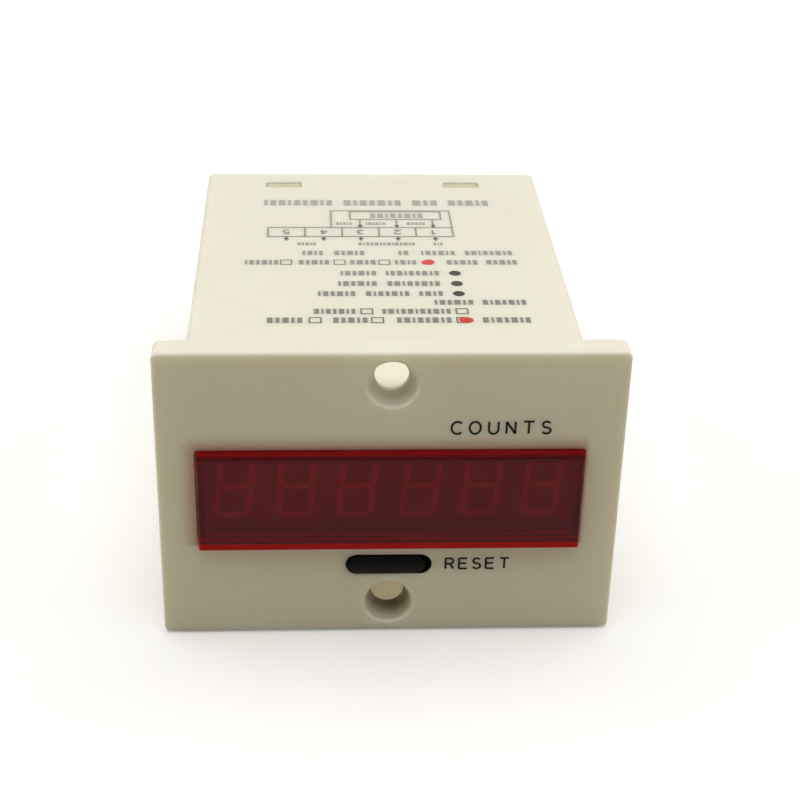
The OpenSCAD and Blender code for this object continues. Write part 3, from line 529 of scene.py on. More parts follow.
# %% Red window
LENS_RED = (0.49, 0.007, 0.010)
LENS_RED_DEEP = (0.46, 0.006, 0.009)
# Painted shade: the dark tone of the inner walls' lower half.
LENS_INNER_SHADE = (0.03, 0.010, 0.010)
LENS_BODY = (0.54, 0.011, 0.011)
# Painted shade: the dark red along the front's upper edge.
LENS_EDGE_SHADE = (0.10, 0.001, 0.002)
LENS_CLEAR = 0.87
LENS_IOR = 1.25
LENS_GLOSS = 0.18
WAVE_HEIGHT = 0.02 * MM
BODY_GLOSS = 0.2
BODY_SHINE = 0.05
FOOT_SHARE = 0.8
SHELF_SHARE = 0.12
STRIPE_SHARE = 0.15
WALL_SHARE = 0.25
EDGE_SHARE = 0.9


def red_window():
    """Red glass, and by place a share of plain red body: the shares of the places are added, up to 1."""
    material, where = new_finish("red_lens")
    x, y, z = where.axes()
    foot, shelf = z.fall(*FOOT_BAR), z.fall(*SHELF)
    stripe = z.step(*STRIPE_START) * z.fall(*STRIPE_STOP)
    head, ends = z.step(*HEAD_WALL), x.math("ABSOLUTE").step(*END_WALLS)
    # Painted shade: along the front's upper edge the body goes over to a darker red.
    edge = z.step(*UPPER_EDGE) * y.fall(*FRONT_SKIN)
    # The inner walls: in their lower half they are painted dark, as painted shade.
    inner = y.step(*INNER_WALLS)
    share = foot * FOOT_SHARE + shelf * SHELF_SHARE + stripe * STRIPE_SHARE
    share = share + head * WALL_SHARE + ends * WALL_SHARE + edge * EDGE_SHARE
    smears = where.noise(220.0, 4.0, 0.6, (1.0, 1.0, 2.5)).step(0.5, 0.75)
    tone = where.noise(90.0).step(0.3, 0.7).mix(LENS_RED, LENS_RED_DEEP)
    shade(material, {
        "Base Color": (inner * z.fall(*LOWER_HALF)).mix(tone, LENS_INNER_SHADE),
        "Roughness": LENS_GLOSS + smears * 0.06,
        "Normal": where.noise(130.0, 1.0).bump(WAVE_HEIGHT, 0.5),
        "Transmission Weight": LENS_CLEAR,
        "IOR": LENS_IOR,
    })
    tree = material.node_tree
    clear = Wire(tree, tree.nodes["Principled BSDF"].outputs[0])
    body = where.add("BsdfPrincipled", None, {
        "Base Color": edge.mix(LENS_BODY, LENS_EDGE_SHADE),
        "Roughness": BODY_GLOSS,
        "Specular IOR Level": BODY_SHINE,
    })
    both = where.add("MixShader", None, {0: share.math("MINIMUM", 1.0) * (1.0 - inner), 1: clear, 2: body})
    feed(tree, tree.nodes["Material Output"].inputs["Surface"], both)
    return material


red_lens = red_window()
print("window finish:", red_lens.name)

# %% [markdown]
# ## Dark plastics
# The push-button, the chips and the terminal block are black or nearly so, and the display modules have a
# dark reddish face. They differ in gloss and grain: the button is satin, and its lower half is painted paler
# as a painted reflection of the table below it, chip bodies are dull with a coarse grain, and the block has
# the slight sheen of glass-filled plastic with pale fibres near its skin.

# %% Dark plastics
DARK_EDGE = 0.2 * MM
FINE_GRAIN = 0.006 * MM
BLOCK_GRAIN = 0.010 * MM
CHIP_GRAIN = 0.012 * MM
REFLECTION_BELOW = 0.5 * MM
REFLECTION_ABOVE = 0.7 * MM


def dark_plastic(name, tone, worn, gloss, grain, height, fibres=0.0, shine=0.5, painted_reflection_below=None):
    """Dark moulding: clouds between two tones, worn edges, and a grain of the given fineness and height. Pale
    fibres are a share, and below a given z the piece goes over to its worn tone, as a painted reflection."""
    material, where = new_finish(name)
    clouds = where.noise(180.0, 3.0)
    colour = (clouds.step(0.35, 0.75) * 0.35).mix(tone, worn)
    colour = (edge_mask(where, DARK_EDGE) * WORN_SHARE).mix(colour, worn)
    if fibres:
        strands = where.noise(1400.0, 2.0, 0.5, (1.0, 6.0, 6.0)).step(0.60, 0.72)
        colour = (strands * fibres).mix(colour, worn)
    # Painted reflection: below the given z the colour goes over to the worn tone, a paler lower half.
    if painted_reflection_below is not None:
        _, _, z = where.axes()
        colour = z.fall(painted_reflection_below - REFLECTION_BELOW, painted_reflection_below + REFLECTION_ABOVE).mix(colour, worn)
    return shade(material, {
        "Base Color": colour,
        "Roughness": gloss + (clouds - 0.5) * 0.16,
        "Normal": where.noise(grain).bump(height, 0.6),
        "Specular IOR Level": shine,
    })


# The button's lower half is a painted reflection of the table below it, in the worn tone.
button_black = dark_plastic("button_black", srgb(8, 7, 7), srgb(36, 35, 34), 0.32, 2600.0, FINE_GRAIN,
                            shine=0.04, painted_reflection_below=button_z)
module_dark = dark_plastic("module_dark", srgb(104, 62, 58), srgb(114, 70, 66), 0.42, 3000.0, FINE_GRAIN,
                           shine=0.2)
part_black = dark_plastic("part_black", srgb(26, 26, 27), srgb(58, 57, 56), 0.55, 5200.0, CHIP_GRAIN)
terminal_black = dark_plastic("terminal_black", srgb(22, 22, 23), srgb(62, 61, 60), 0.46, 2400.0,
                              BLOCK_GRAIN, fibres=0.35)
print("dark finishes: 4")

# %% [markdown]
# ## Display segments
# Each segment is a pocket filled with red diffusing resin. Unlit, it is a dull red with a milky cloud, a
# little brighter than the face round it. The decimal points stay nearly as dark as the face. They are found
# by position: x is measured from the middle of its own module, then folded by the spacing of the digits.

# %% Display segments
SEGMENT_RED = srgb(180, 90, 88)
SEGMENT_MILKY = srgb(194, 108, 104)
POINT_DARK = srgb(132, 78, 74)
DIGIT_PITCH = 8.0 * MM
POINT_SIDE = 2.35 * MM
POINT_TOP = -4.1 * MM
BUBBLE_HEIGHT = 0.006 * MM
module_lo, module_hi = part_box("led_module_right")
module_middle = (module_lo.x + module_hi.x) / 2


def segment_resin():
    """Milky red resin. A decimal point lies to the right of its digit's middle and below the digit's foot."""
    material, where = new_finish("segment_red")
    x, _, z = where.axes()
    from_digit = (x - x.math("SIGN") * module_middle).fold(DIGIT_PITCH)
    points = from_digit.step(POINT_SIDE, POINT_SIDE + SOFT_EDGE) * z.fall(POINT_TOP, POINT_TOP + SOFT_EDGE)
    clouds = where.noise(700.0, 3.0)
    tone = clouds.step(0.35, 0.7).mix(SEGMENT_RED, SEGMENT_MILKY)
    return shade(material, {
        "Base Color": points.mix(tone, POINT_DARK),
        "Roughness": 0.30 + clouds * 0.2,
        "Normal": where.noise(3000.0, 1.0).bump(BUBBLE_HEIGHT, 0.4),
    })


segment_red = segment_resin()
print("segment finish:", segment_red.name)

# %% [markdown]
# ## Circuit boards
# A board is glass fabric under green lacquer. Where copper runs below the lacquer the green is lighter and
# stands up a little. The tracks here are bands of a wave pattern, cut into runs by a second pattern across
# them, and the fabric's weave is a fine grid in the bump.

# %% Circuit boards
BOARD_DEEP = srgb(14, 62, 38)
BOARD_TRACK = srgb(38, 104, 62)
LANES_PER_M = 2500.0
THREADS_PER_M = 9000.0
TRACK_HEIGHT = 0.03 * MM


def board_lacquer():
    """Green lacquer: sine lanes across x, cut into runs by noise, over a weave that is a product of sines."""
    material, where = new_finish("board_green")
    x, y, z = where.axes()
    lanes = (x * LANES_PER_M).math("SINE").step(0.15, 0.45)
    runs = where.noise(120.0, 1.0, 0.5, (1.0, 0.35, 1.0)).step(0.45, 0.5)
    tracks = lanes * runs
    weave = (y * THREADS_PER_M).math("SINE") * ((x + z) * THREADS_PER_M).math("SINE")
    clouds = where.noise(60.0, 3.0)
    return shade(material, {
        "Base Color": (tracks * 0.8 + clouds * 0.2).mix(BOARD_DEEP, BOARD_TRACK),
        "Roughness": 0.28 + clouds * 0.12,
        "Normal": (tracks + weave * 0.1).bump(TRACK_HEIGHT, 0.7),
    })


board_green = board_lacquer()
print("board finish:", board_green.name)

# %% [markdown]
# ## Metals
# Leads are tinned copper, dull and slightly uneven. Pins and contacts are brass under a thin plating, and
# the crystal's can is drawn steel. The terminal screws and clamps are zinc-plated, with a faint tint and the
# rings of the lathe on each head. The rings need each screw's own middle, so x is folded by the spacing of
# the terminals first.

# %% Metals
SCRATCH_HEIGHT = 0.004 * MM
RUN_X, RUN_Z = (0.1, 1.0, 1.0), (1.0, 1.0, 0.1)


def metal(name, tone, tint, gloss, brush=(1.0, 1.0, 1.0)):
    """Bare metal: two tones in clouds, uneven gloss, and brushing along the direction of least stretch."""
    material, where = new_finish(name)
    clouds = where.noise(260.0, 3.0)
    brushing = where.noise(2600.0, 2.0, 0.6, brush)
    return shade(material, {
        "Base Color": clouds.step(0.3, 0.75).mix(tone, tint),
        "Roughness": gloss + (brushing - 0.5) * 0.2 + (clouds - 0.5) * 0.12,
        "Metallic": 1.0,
        "Normal": brushing.bump(SCRATCH_HEIGHT, 0.6),
    })


tinned = metal("tinned", srgb(206, 204, 198), srgb(182, 180, 176), 0.34)
brass_pins = metal("brass_pins", srgb(214, 190, 128), srgb(196, 168, 104), 0.30)
brass_contacts = metal("brass_contacts", srgb(208, 182, 120), srgb(186, 158, 98), 0.34, RUN_Z)
crystal_can = metal("crystal_can", srgb(196, 197, 199), srgb(178, 179, 182), 0.26, RUN_X)
print("metals: 4")

# %% Plated screws and clamps
ZINC = srgb(204, 204, 200)
ZINC_TINT = srgb(186, 190, 196)
ZINC_GRIME = srgb(140, 136, 128)
WAYS = 5
RINGS_PER_M = 14000.0
RING_HEIGHT = 0.008 * MM
screw_lo, screw_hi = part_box("terminal_screws")
head_size = screw_hi.z - screw_lo.z
way_pitch = (screw_hi.x - screw_lo.x - head_size) / (WAYS - 1)
way_z = (screw_hi.z + screw_lo.z) / 2


def plated_finish():
    """Zinc plate: the lathe's rings are a sine of the distance from each screw's own axis."""
    material, where = new_finish("plated_steel")
    x, _, z = where.axes()
    rings = (x.fold(way_pitch).reach(z - way_z) * RINGS_PER_M).math("SINE")
    clouds = where.noise(300.0, 3.0)
    grime = where.noise(900.0, 3.0).step(0.55, 0.8)
    tone = clouds.step(0.35, 0.7).mix(ZINC, ZINC_TINT)
    return shade(material, {
        "Base Color": (grime * 0.35).mix(tone, ZINC_GRIME),
        "Roughness": 0.27 + clouds * 0.12 + grime * 0.12,
        "Metallic": 1.0,
        "Normal": rings.bump(RING_HEIGHT, 0.5),
    })


plated_steel = plated_finish()
print("terminal spacing in mm:", round(way_pitch / MM, 2))

# %% [markdown]
# ## Small parts on the main board
# Resistors carry colour bands, the electrolytic cans a pale stripe down their sleeve, and the ceramic discs a
# dipped coat that pools at the rim. The bands and the stripe are painted by position: the bands by the
# distance from the row's middle, the stripe by the side of the can.

# %% Resistors
RESISTOR_TONE = srgb(214, 190, 146)
RESISTOR_DEEP = srgb(200, 172, 126)
LEAD_TONE = srgb(200, 198, 192)
BANDS = [(-1.1 * MM, srgb(96, 52, 28)), (-0.45 * MM, srgb(24, 22, 22)), (0.2 * MM, srgb(170, 38, 30)),
         (1.15 * MM, srgb(176, 142, 60))]
BAND_EDGE = (0.16 * MM, 0.20 * MM)
LEAD_START = (1.70 * MM, 1.72 * MM)
COAT_HEIGHT = 0.01 * MM


def banded_resistors():
    """Beige bodies with four bands across y, and bare metal where the leads start."""
    material, where = new_finish("resistor_beige")
    lo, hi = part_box("resistors")
    _, y, _ = where.axes()
    along = y - (lo.y + hi.y) / 2
    tone = where.noise(500.0).mix(RESISTOR_TONE, RESISTOR_DEEP)
    for centre, band in BANDS:
        tone = (along - centre).math("ABSOLUTE").fall(*BAND_EDGE).mix(tone, band)
    lead = along.math("ABSOLUTE").step(*LEAD_START)
    return shade(material, {
        "Base Color": lead.mix(tone, LEAD_TONE),
        "Roughness": 0.38 - lead * 0.06,
        "Metallic": lead,
        "Normal": where.noise(2500.0).bump(COAT_HEIGHT, 0.5),
    })


resistor_beige = banded_resistors()
print("resistor bands:", len(BANDS))

# %% Capacitors
CERAMIC_TAN = srgb(204, 134, 62)
CERAMIC_DEEP = srgb(182, 108, 44)
DIP_HEIGHT = 0.04 * MM
SLEEVE_BLUE = srgb(28, 30, 58)
SLEEVE_LIGHT = srgb(36, 38, 70)
SLEEVE_STRIPE = srgb(190, 192, 200)
CAN_METAL = srgb(190, 191, 193)
STRIPE_DEPTH = (0.8 * MM, 1.0 * MM)
RIM_DROP = 0.7 * MM
RIM_SOFT = 0.04 * MM
DASHES_PER_M = 1800.0


def dipped_ceramic():
    """Tan dipped coat between two tones, uneven like a dried drop."""
    material, where = new_finish("ceramic_tan")
    clouds = where.noise(600.0, 3.0)
    return shade(material, {
        "Base Color": clouds.step(0.3, 0.75).mix(CERAMIC_TAN, CERAMIC_DEEP),
        "Roughness": 0.30 + clouds * 0.16,
        "Normal": where.noise(900.0).bump(DIP_HEIGHT, 0.6),
    })


def can_sleeve():
    """Dark blue sleeve with a pale dashed stripe on its front side, and bare metal on the can's top."""
    material, where = new_finish("capacitor_sleeve")
    _, y, z = where.axes()
    lo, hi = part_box("filter_capacitors")
    front = (y - lo.y).fall(*STRIPE_DEPTH)
    dashes = (z * DASHES_PER_M).math("SINE").step(0.2, 0.4)
    top = z.step(hi.z - RIM_DROP, hi.z - RIM_DROP + RIM_SOFT)
    tone = where.noise(300.0).mix(SLEEVE_BLUE, SLEEVE_LIGHT)
    tone = (front * (0.6 + dashes * 0.4)).mix(tone, SLEEVE_STRIPE)
    return shade(material, {
        "Base Color": top.mix(tone, CAN_METAL),
        "Roughness": 0.36 - top * 0.08,
        "Metallic": top,
        "Normal": where.noise(1500.0).bump(COAT_HEIGHT, 0.5),
    })


ceramic_tan = dipped_ceramic()
capacitor_sleeve = can_sleeve()
print("capacitor finishes:", ceramic_tan.name, capacitor_sleeve.name)

# %% [markdown]
# ## Dressing the CAD nodes
# A CAD node keeps its mesh and only takes a new material in its slots. The record names one slot for each
# finish, so the table below goes from slot to material and every node follows from the record.

# %% Dress the nodes
FINISHES = dict(
    ivory_plastic=ivory_plastic, cover_ivory=cover_ivory, red_lens=red_lens, button_black=button_black,
    module_dark=module_dark, segment_red=segment_red, part_black=part_black, board_green=board_green,
    tinned=tinned, brass_pins=brass_pins, brass_contacts=brass_contacts, crystal_can=crystal_can,
    resistor_beige=resistor_beige, ceramic_tan=ceramic_tan, capacitor_sleeve=capacitor_sleeve,
    terminal_black=terminal_black, plated_steel=plated_steel)
dressed = set()
for entry in frame["record"]["subparts"]:
    for slot in nodes[entry["node"]].material_slots:
        slot.material = FINISHES[entry["material_slot"]]
    dressed.add(entry["node"])
print("dressed nodes:", len(dressed), "left:", sorted(set(nodes) - dressed))

# %% [markdown]
# ## Ridges along paths
# Print and moulded numbers are thin ridges: a flat-topped profile carried along a path. A text object with a
# font would be quicker, but a ridge has an even line like the printing on the counter, and its height is
# known. Each station of the path gets a ring of four corners. Where the path bends, the ring is widened by
# one over the cosine of half the bend, so that the line keeps its width.

# %% Ridges
LEAST_COSINE = 0.3


def ridge(path, width, height, closed=False):
    """Rings of (left foot, left top, right top, right foot) along a path in (u, v), as points (u, v, h) and
    quads. A ring lies across the mean of the steps before and after it. An open path gets two end caps."""
    path = np.asarray(path, float)
    steps = np.roll(path, -1, axis=0) - path
    if not closed:
        steps[-1] = steps[-2]
    steps /= np.linalg.norm(steps, axis=1, keepdims=True)
    before = np.roll(steps, 1, axis=0)
    if not closed:
        before[0] = steps[0]
    mean = steps + before
    side = np.stack([-mean[:, 1], mean[:, 0]], axis=1)
    side /= np.linalg.norm(side, axis=1, keepdims=True)
    own = np.stack([-steps[:, 1], steps[:, 0]], axis=1)
    cosine = np.maximum((side * own).sum(1, keepdims=True), LEAST_COSINE)
    reach = width / 2 / cosine * side
    flat = np.zeros((len(path), 1))
    corners = [(reach, 0.0), (reach, height), (-reach, height), (-reach, 0.0)]
    rings = np.stack([np.hstack([path + out, flat + lift]) for out, lift in corners], axis=1)
    i = np.arange(len(path) * 4).reshape(len(path), 4)
    a = i if closed else i[:-1]
    b = np.roll(i, -1, axis=0) if closed else i[1:]
    quads = np.stack([a, b, np.roll(b, -1, axis=1), np.roll(a, -1, axis=1)], axis=-1).reshape(-1, 4)
    if not closed:
        quads = np.concatenate([quads, i[:1], i[-1:, ::-1]])
    return rings.reshape(-1, 3), quads


print("ridges ready")

# %% Discs
RIM_SHARES = np.array([1.0, 0.97, 0.86])
RIM_LIFTS = np.array([0.0, 0.7, 1.0])
THIRD_WAVE = 0.6


def disc(centre, radius, height, sides=28, wobble=0.0, phase=0.0):
    """A low round dab, as points and quads: its radius times (1 + wobble times a sum of two sines of the
    angle), in three rings that draw in as they rise, closed by a crown and a foot. A triangle names its tip
    twice."""
    angle = np.arange(sides) * 2 * math.pi / sides
    waves = np.sin(2 * angle + phase) + THIRD_WAVE * np.sin(3 * angle + 2 * phase)
    shape = radius * (1 + wobble * waves)
    u = centre[0] + RIM_SHARES[:, None] * shape * np.cos(angle)
    v = centre[1] + RIM_SHARES[:, None] * shape * np.sin(angle)
    h = np.repeat(RIM_LIFTS[:, None] * height, sides, axis=1)
    rims = np.stack([u, v, h], axis=-1).reshape(-1, 3)
    points = np.concatenate([rims, [[*centre, height], [*centre, 0.0]]])
    i = np.arange(len(rims)).reshape(-1, sides)
    n = np.roll(i, -1, axis=1)
    tip, base = np.full(sides, len(rims)), np.full(sides, len(rims) + 1)
    quads = np.stack([i[:-1], n[:-1], n[1:], i[1:]], axis=-1).reshape(-1, 4)
    crown = np.stack([i[-1], n[-1], tip, tip], axis=-1)
    foot = np.stack([n[0], i[0], base, base], axis=-1)
    return points, np.concatenate([quads, crown, foot])


print("discs ready")

# %% Raised pieces
def raised(name, parts, origin, u_axis, v_axis, material):
    """One object from many ridges and discs: u and v in millimetres along two axes of a face, h along their
    cross product. A point that a quad names twice is dropped, which leaves a triangle."""
    starts = np.cumsum([0] + [len(p) for p, _ in parts])
    points = np.concatenate([p for p, _ in parts])
    quads = np.concatenate([q + start for (_, q), start in zip(parts, starts)])
    axes = np.array([u_axis, v_axis, np.cross(u_axis, v_axis)], float)
    faces = [list(dict.fromkeys(quad)) for quad in quads.tolist()]
    piece = new_piece(name, np.array(origin) + points @ axes * MM, faces)
    piece.data.materials.append(material)
    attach(piece, "case")
    print(name, "faces:", len(faces))
    return piece


print("raised pieces ready")

# %% [markdown]
# ## Letters and numbers
# Each sign is a few strokes in a box one unit high: straight lines, and arcs that are points on an ellipse
# over a range of angles. Only plain function words and terminal numbers are needed.

# %% Letters
def line(*corners):
    """A path with straight runs between corners."""
    return np.array(corners, float)


def arc(cx, cy, rx, ry, start, stop, count=17):
    """Points on an ellipse round (cx, cy) from one angle to another, in degrees."""
    a = np.radians(np.linspace(start, stop, count))
    return np.stack([cx + rx * np.cos(a), cy + ry * np.sin(a)], axis=1)


def joined(*runs):
    """Several paths, one after the other, as one path."""
    return np.concatenate(runs)


SIGNS = {
    "C": [arc(0.43, 0.5, 0.43, 0.5, 48, 312, 25)],
    "O": [arc(0.40, 0.5, 0.40, 0.5, 0, 348, 30)],
    "U": [joined(line((0.0, 1.0), (0.0, 0.38)), arc(0.34, 0.34, 0.34, 0.34, 187, 353),
                 line((0.68, 0.38), (0.68, 1.0)))],
    "N": [line((0.0, 0.0), (0.0, 1.0)), line((0.0, 1.0), (0.64, 0.0)), line((0.64, 0.0), (0.64, 1.0))],
    "T": [line((0.0, 1.0), (0.76, 1.0)), line((0.38, 1.0), (0.38, 0.0))],
    "S": [joined(arc(0.31, 0.75, 0.27, 0.25, 25, 262), arc(0.31, 0.25, 0.31, 0.25, 82, -155))],
    "R": [line((0.0, 0.0), (0.0, 1.0)),
          joined(line((0.0, 1.0), (0.34, 1.0)), arc(0.37, 0.74, 0.25, 0.26, 80, -80),
                 line((0.34, 0.48), (0.0, 0.48))),
          line((0.36, 0.48), (0.64, 0.0))],
    "E": [line((0.0, 0.0), (0.0, 1.0)), line((0.0, 1.0), (0.66, 1.0)), line((0.0, 0.52), (0.61, 0.52)),
          line((0.0, 0.0), (0.68, 0.0))],
    "1": [joined(line((0.12, 0.76), (0.36, 1.0)), line((0.36, 0.98), (0.36, 0.0)))],
    "2": [joined(arc(0.34, 0.69, 0.31, 0.31, 170, -30), line((0.06, 0.0), (0.68, 0.0)))],
    "3": [arc(0.33, 0.75, 0.28, 0.25, 150, -90), arc(0.33, 0.26, 0.33, 0.26, 90, -150)],
    "4": [line((0.5, 0.0), (0.5, 1.0)), line((0.5, 1.0), (0.02, 0.3)), line((0.02, 0.3), (0.72, 0.3))],
    "5": [line((0.62, 1.0), (0.14, 1.0), (0.10, 0.56)), arc(0.33, 0.33, 0.33, 0.33, 135, -145)],
}
CLOSED_SIGNS = "O"
print("signs:", "".join(SIGNS))

# %% Words from signs
def sign_width(sign):
    """How far a sign reaches to the right, in units of its height."""
    return max(stroke[:, 0].max() for stroke in SIGNS[sign])


def written(text, left, foot, size, gap, stroke, height):
    """The ridges of a word: each sign starts one gap after the end of the last, and its strokes are cut
    square."""
    parts = []
    for sign in text:
        closed = sign in CLOSED_SIGNS
        parts += [ridge(path * size + (left, foot), stroke, height, closed) for path in SIGNS[sign]]
        left += sign_width(sign) * size + gap
    return parts


def numbered(number, middle, foot, size, stroke, height):
    """The ridges of one number, centred on its middle."""
    sign = str(number)
    return written(sign, middle - sign_width(sign) * size / 2, foot, size, 0.0, stroke, height)


print("widest sign:", max(SIGNS, key=sign_width))

# %% [markdown]
# ## Ink
# Pad printing leaves a film a few hundredths of a millimetre thick, matt, a little uneven, and thinner where
# the pad lifted. The front has a black ink. On top, lines are a soft grey and the blocks that stand for words
# a paler one, both fading towards the rear. Two dabs of red marker show which options the counter has.

# %% Ink finishes
FADE_RANGE = (18 * MM, 64 * MM)
FADE_ALONG = 0.8
FADE_PATCHES = 0.2
INK_SHINE = 0.15
INK_GRAIN = 0.006 * MM


def ink(name, tone, faded, gloss):
    """Matt film between two tones: it fades along the case towards the rear, and a little in patches."""
    material, where = new_finish(name)
    _, y, _ = where.axes()
    patches = where.noise(1500.0, 4.0, 0.6)
    fade = y.step(*FADE_RANGE) * FADE_ALONG + patches.step(0.45, 0.8) * FADE_PATCHES
    return shade(material, {
        "Base Color": fade.mix(tone, faded),
        "Roughness": gloss + (patches - 0.5) * 0.2,
        "Normal": where.noise(4000.0).bump(INK_GRAIN, 0.5),
        "Specular IOR Level": INK_SHINE,
    })


front_ink = ink("front_ink", srgb(26, 23, 21), srgb(58, 55, 50), 0.5)
label_ink = ink("label_ink", srgb(112, 110, 100), srgb(182, 180, 168), 0.55)
word_ink = ink("word_ink", srgb(134, 132, 122), srgb(184, 183, 173), 0.55)
bullet_ink = ink("bullet_ink", srgb(66, 64, 54), srgb(92, 90, 78), 0.55)
marker_red = ink("marker_red", srgb(210, 58, 56), srgb(226, 104, 96), 0.45)
print("inks: 5")

# %% [markdown]
# ## Front legends
# Two plain words stand on the front plate: what the window shows, and what the button does. They are thin
# black strokes, widely spaced, on the plate's front face. Each row gives a word, its left end, its foot, its
# height and the gap between signs, in millimetres.

# %% Front legends
INK_MM = 0.03
LEGEND_STROKE = 0.28
LEGENDS = [("COUNTS", 7.59, 9.43, 1.76, 1.05), ("RESET", 7.55, -11.22, 1.62, 0.74)]
legend_parts = []
for legend, left, foot, size, gap in LEGENDS:
    legend_parts += written(legend, left, foot, size, gap, LEGEND_STROKE, INK_MM)
raised("front_legends", legend_parts, (0, plate_front, 0), (1, 0, 0), (0, 0, 1), front_ink)

# %% [markdown]
# ## Connection print on top
# The top of the case carries a plain connection sketch: a strip of five numbered boxes for the terminals, a
# sensor box wired to three of them, rows of words beside tick boxes, and three bullets. Words are only hinted
# at: each is a run of small plain blocks. The sketch is read from the rear, so its u axis runs towards -X and
# its v axis towards the front. Its places are the frame's x and y in millimetres.

# %% Connection sketch
CASE_TOP = dict(origin=(0, 0, CASE_HALF), u_axis=(-1, 0, 0), v_axis=(0, -1, 0))
LINE_MM = 0.28
STRIP_X = (11.7, -16.7)
STRIP_Y = (49.1, 52.6)
SIGN_Y = 51.6
SIGN_MM = 1.5
STUB_Y = (48.9, 47.5)
STUB_DOT_Y = 48.3
SENSOR_X = (10.2, -4.0)
SENSOR_Y = (55.9, 59.0)
SENSOR_WIRES = 3
WIRE_DOT_Y = 53.3
DOT_RADIUS = 0.4
DOT_SIDES = 12
LOOP_END = -7.0
LOOP_Y = 59.4


def thin(*corners):
    """A thin printed line through places on the top."""
    return ridge(line(*[(-x, -y) for x, y in corners]), LINE_MM, INK_MM)


def box(x0, x1, y0, y1, stroke=LINE_MM):
    """The printed outline of a box on the top."""
    corners = line((-x0, -y0), (-x1, -y0), (-x1, -y1), (-x0, -y1))
    return ridge(corners, stroke, INK_MM, closed=True)


def dot(x, y):
    """A small printed dot on a line of the sketch."""
    return disc((-x, -y), DOT_RADIUS, INK_MM, DOT_SIDES)


sketch = [box(*STRIP_X, *STRIP_Y), box(*SENSOR_X, *SENSOR_Y)]
strip_step = (STRIP_X[1] - STRIP_X[0]) / WAYS
for i in range(WAYS):
    edge = STRIP_X[0] + i * strip_step
    middle = STRIP_X[0] + (i + 0.5) * strip_step
    sketch += numbered(i + 1, -middle, -SIGN_Y, SIGN_MM, LINE_MM, INK_MM)
    sketch += [thin((middle, STUB_Y[0]), (middle, STUB_Y[1])), dot(middle, STUB_DOT_Y)]
    if i > 0:
        sketch += [thin((edge, STRIP_Y[0]), (edge, STRIP_Y[1]))]
    if i < SENSOR_WIRES:
        sketch += [thin((middle, SENSOR_Y[0]), (middle, STRIP_Y[1])), dot(middle, WIRE_DOT_Y)]
sketch += [thin((STRIP_X[0], STRIP_Y[1]), (STRIP_X[0], LOOP_Y), (LOOP_END, LOOP_Y), (LOOP_END, STRIP_Y[1]))]
print("sketch parts:", len(sketch))

# %% Tick boxes
TICK_MM = 1.6
TICK_LINE_MM = 0.2
TICK_ROWS = [(39.5, (0.7, -5.9, -13.8)), (22.8, (10.9, -2.4)), (20.0, (10.8, -1.0, -9.6))]
half = TICK_MM / 2
for y, places in TICK_ROWS:
    sketch += [box(x + half, x - half, y - half, y + half, TICK_LINE_MM) for x in places]
raised("connection_print", sketch, material=label_ink, **CASE_TOP)

# %% [markdown]
# ## Words as blocks
# A row gives its y, the height of its letters, and where each word starts and ends in x. The blocks of a
# word are as wide as letters of that height would be, in a rhythm of wide and narrow ones, so that the row
# reads as print without saying anything.

# %% Words as blocks
BLOCK_SHARE = 0.62
GAP_SHARE = 0.25
BLOCK_RHYTHM = np.array([1.0, 0.75, 1.2, 0.9, 1.1, 0.7, 1.15])
WORD_ROWS = [
    (62.7, 2.1, [(18.2, 11.4), (10.0, 5.6), (4.2, -5.4), (-6.8, -18.0)]),
    (57.4, 1.7, [(7.4, -1.2)]),
    (54.2, 0.9, [(7.6, 4.6), (1.4, -1.8), (-3.8, -6.4)]),
    (46.3, 1.0, [(9.8, 8.2), (5.6, -3.2), (-9.4, -12.4)]),
    (42.9, 1.5, [(20.0, 12.6), (11.4, 6.0), (4.4, 2.6), (-2.2, -7.0), (-8.4, -11.8)]),
    (39.5, 1.5, [(20.4, 15.5), (14.5, 9.6), (5.4, 1.9), (-0.6, -4.7), (-7.5, -12.3), (-15.0, -20.2)]),
    (35.6, 1.5, [(8.5, 0.4), (-0.7, -6.2)]),
    (32.0, 1.5, [(8.4, 0.5), (-0.7, -6.6)]),
    (28.6, 1.5, [(8.6, 4.9), (3.8, -2.7), (-3.9, -9.5)]),
    (25.7, 1.5, [(20.2, 13.7), (12.7, 6.9)]),
    (22.8, 1.5, [(9.3, -0.6), (-4.0, -10.1)]),
    (20.0, 1.6, [(20.2, 13.2), (9.2, 1.3), (-2.4, -7.5), (-11.4, -16.6)]),
]


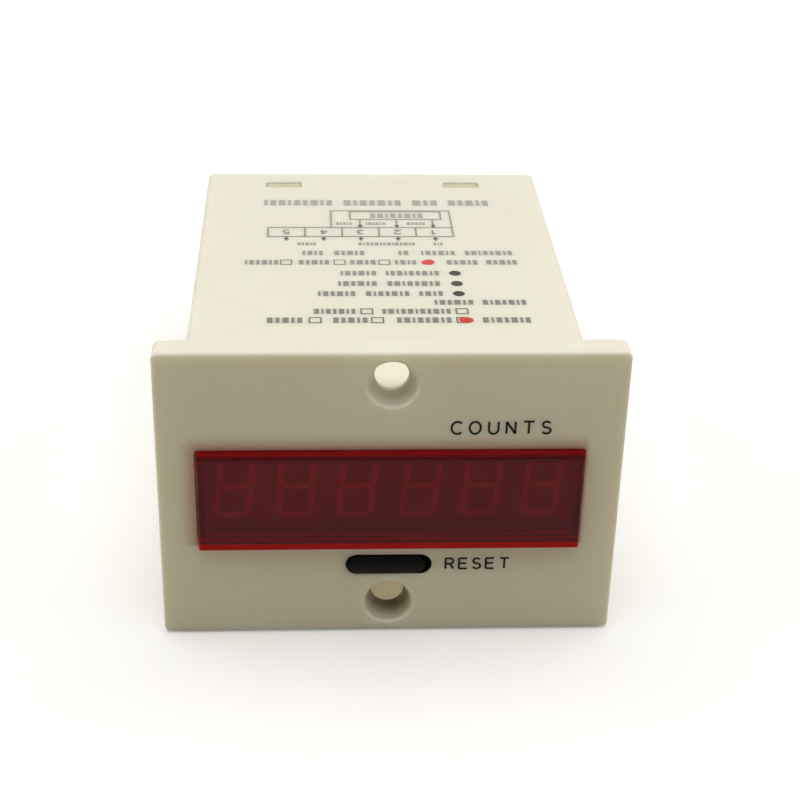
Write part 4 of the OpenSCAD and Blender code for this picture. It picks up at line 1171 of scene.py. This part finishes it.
def word_blocks(x0, x1, y, tall):
    """Blocks side by side from x0 to x1: their widths follow the rhythm, stretched to fill the span, and each
    block ends a gap before the next. Widths and gaps are shares of the height, as letters are."""
    count = max(1, round(abs(x0 - x1) / (BLOCK_SHARE * tall)))
    widths = np.resize(BLOCK_RHYTHM, count)
    edges = -x0 + (x0 - x1) * np.concatenate([[0.0], np.cumsum(widths) / widths.sum()])
    gap = GAP_SHARE * tall
    return [ridge(line((a, -y), (b - gap, -y)), tall, INK_MM) for a, b in zip(edges[:-1], edges[1:])]


blocks = []
for y, tall, spans in WORD_ROWS:
    for x0, x1 in spans:
        blocks += word_blocks(x0, x1, y, tall)
raised("word_print", blocks, material=word_ink, **CASE_TOP)

# %% [markdown]
# ## Bullets and marker dabs
# Three round bullets start rows of words, and two dabs of red marker were put on by hand, so their outlines
# wobble and they are twice as thick as print. A row of the dabs gives x, y, the wobble and its phase.

# %% Bullets and marker dabs
BULLET_X = 10.9
BULLET_ROWS = (35.6, 32.0, 28.6)
BULLET_RADIUS = 0.86
DABS = [(7.2, 39.5, 0.06, 0.7), (11.25, 20.0, 0.07, 2.1)]
DAB_RADIUS = 0.95
DAB_SIDES = 36
DAB_MM = 2 * INK_MM
bullets = [disc((-BULLET_X, -y), BULLET_RADIUS, INK_MM) for y in BULLET_ROWS]
dabs = [disc((-x, -y), DAB_RADIUS, DAB_MM, DAB_SIDES, wobble, phase) for x, y, wobble, phase in DABS]
raised("bullet_print", bullets, material=bullet_ink, **CASE_TOP)
raised("marker_dabs", dabs, material=marker_red, **CASE_TOP)

# %% [markdown]
# ## Terminal numbers
# Under each bay of the rear cover a raised number names its terminal, in the cover's own plastic. Seen from
# the rear, number 1 is on the left, which is the +X side.

# %% Terminal numbers
NUMBER_MM = 2.2
NUMBER_STROKE = 0.4
NUMBER_RISE = 0.22
NUMBER_DROP = 1.6
block_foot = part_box("terminal_block")[0].z
cover_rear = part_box("rear_cover")[1].y
number_foot = block_foot / MM - NUMBER_DROP - NUMBER_MM
number_parts = []
for i in range(WAYS):
    u = (i - (WAYS - 1) / 2) * way_pitch / MM
    number_parts += numbered(i + 1, u, number_foot, NUMBER_MM, NUMBER_STROKE, NUMBER_RISE)
terminal_numbers = raised("terminal_numbers", number_parts, (0, cover_rear, 0), (-1, 0, 0), (0, 0, 1),
                          cover_ivory)
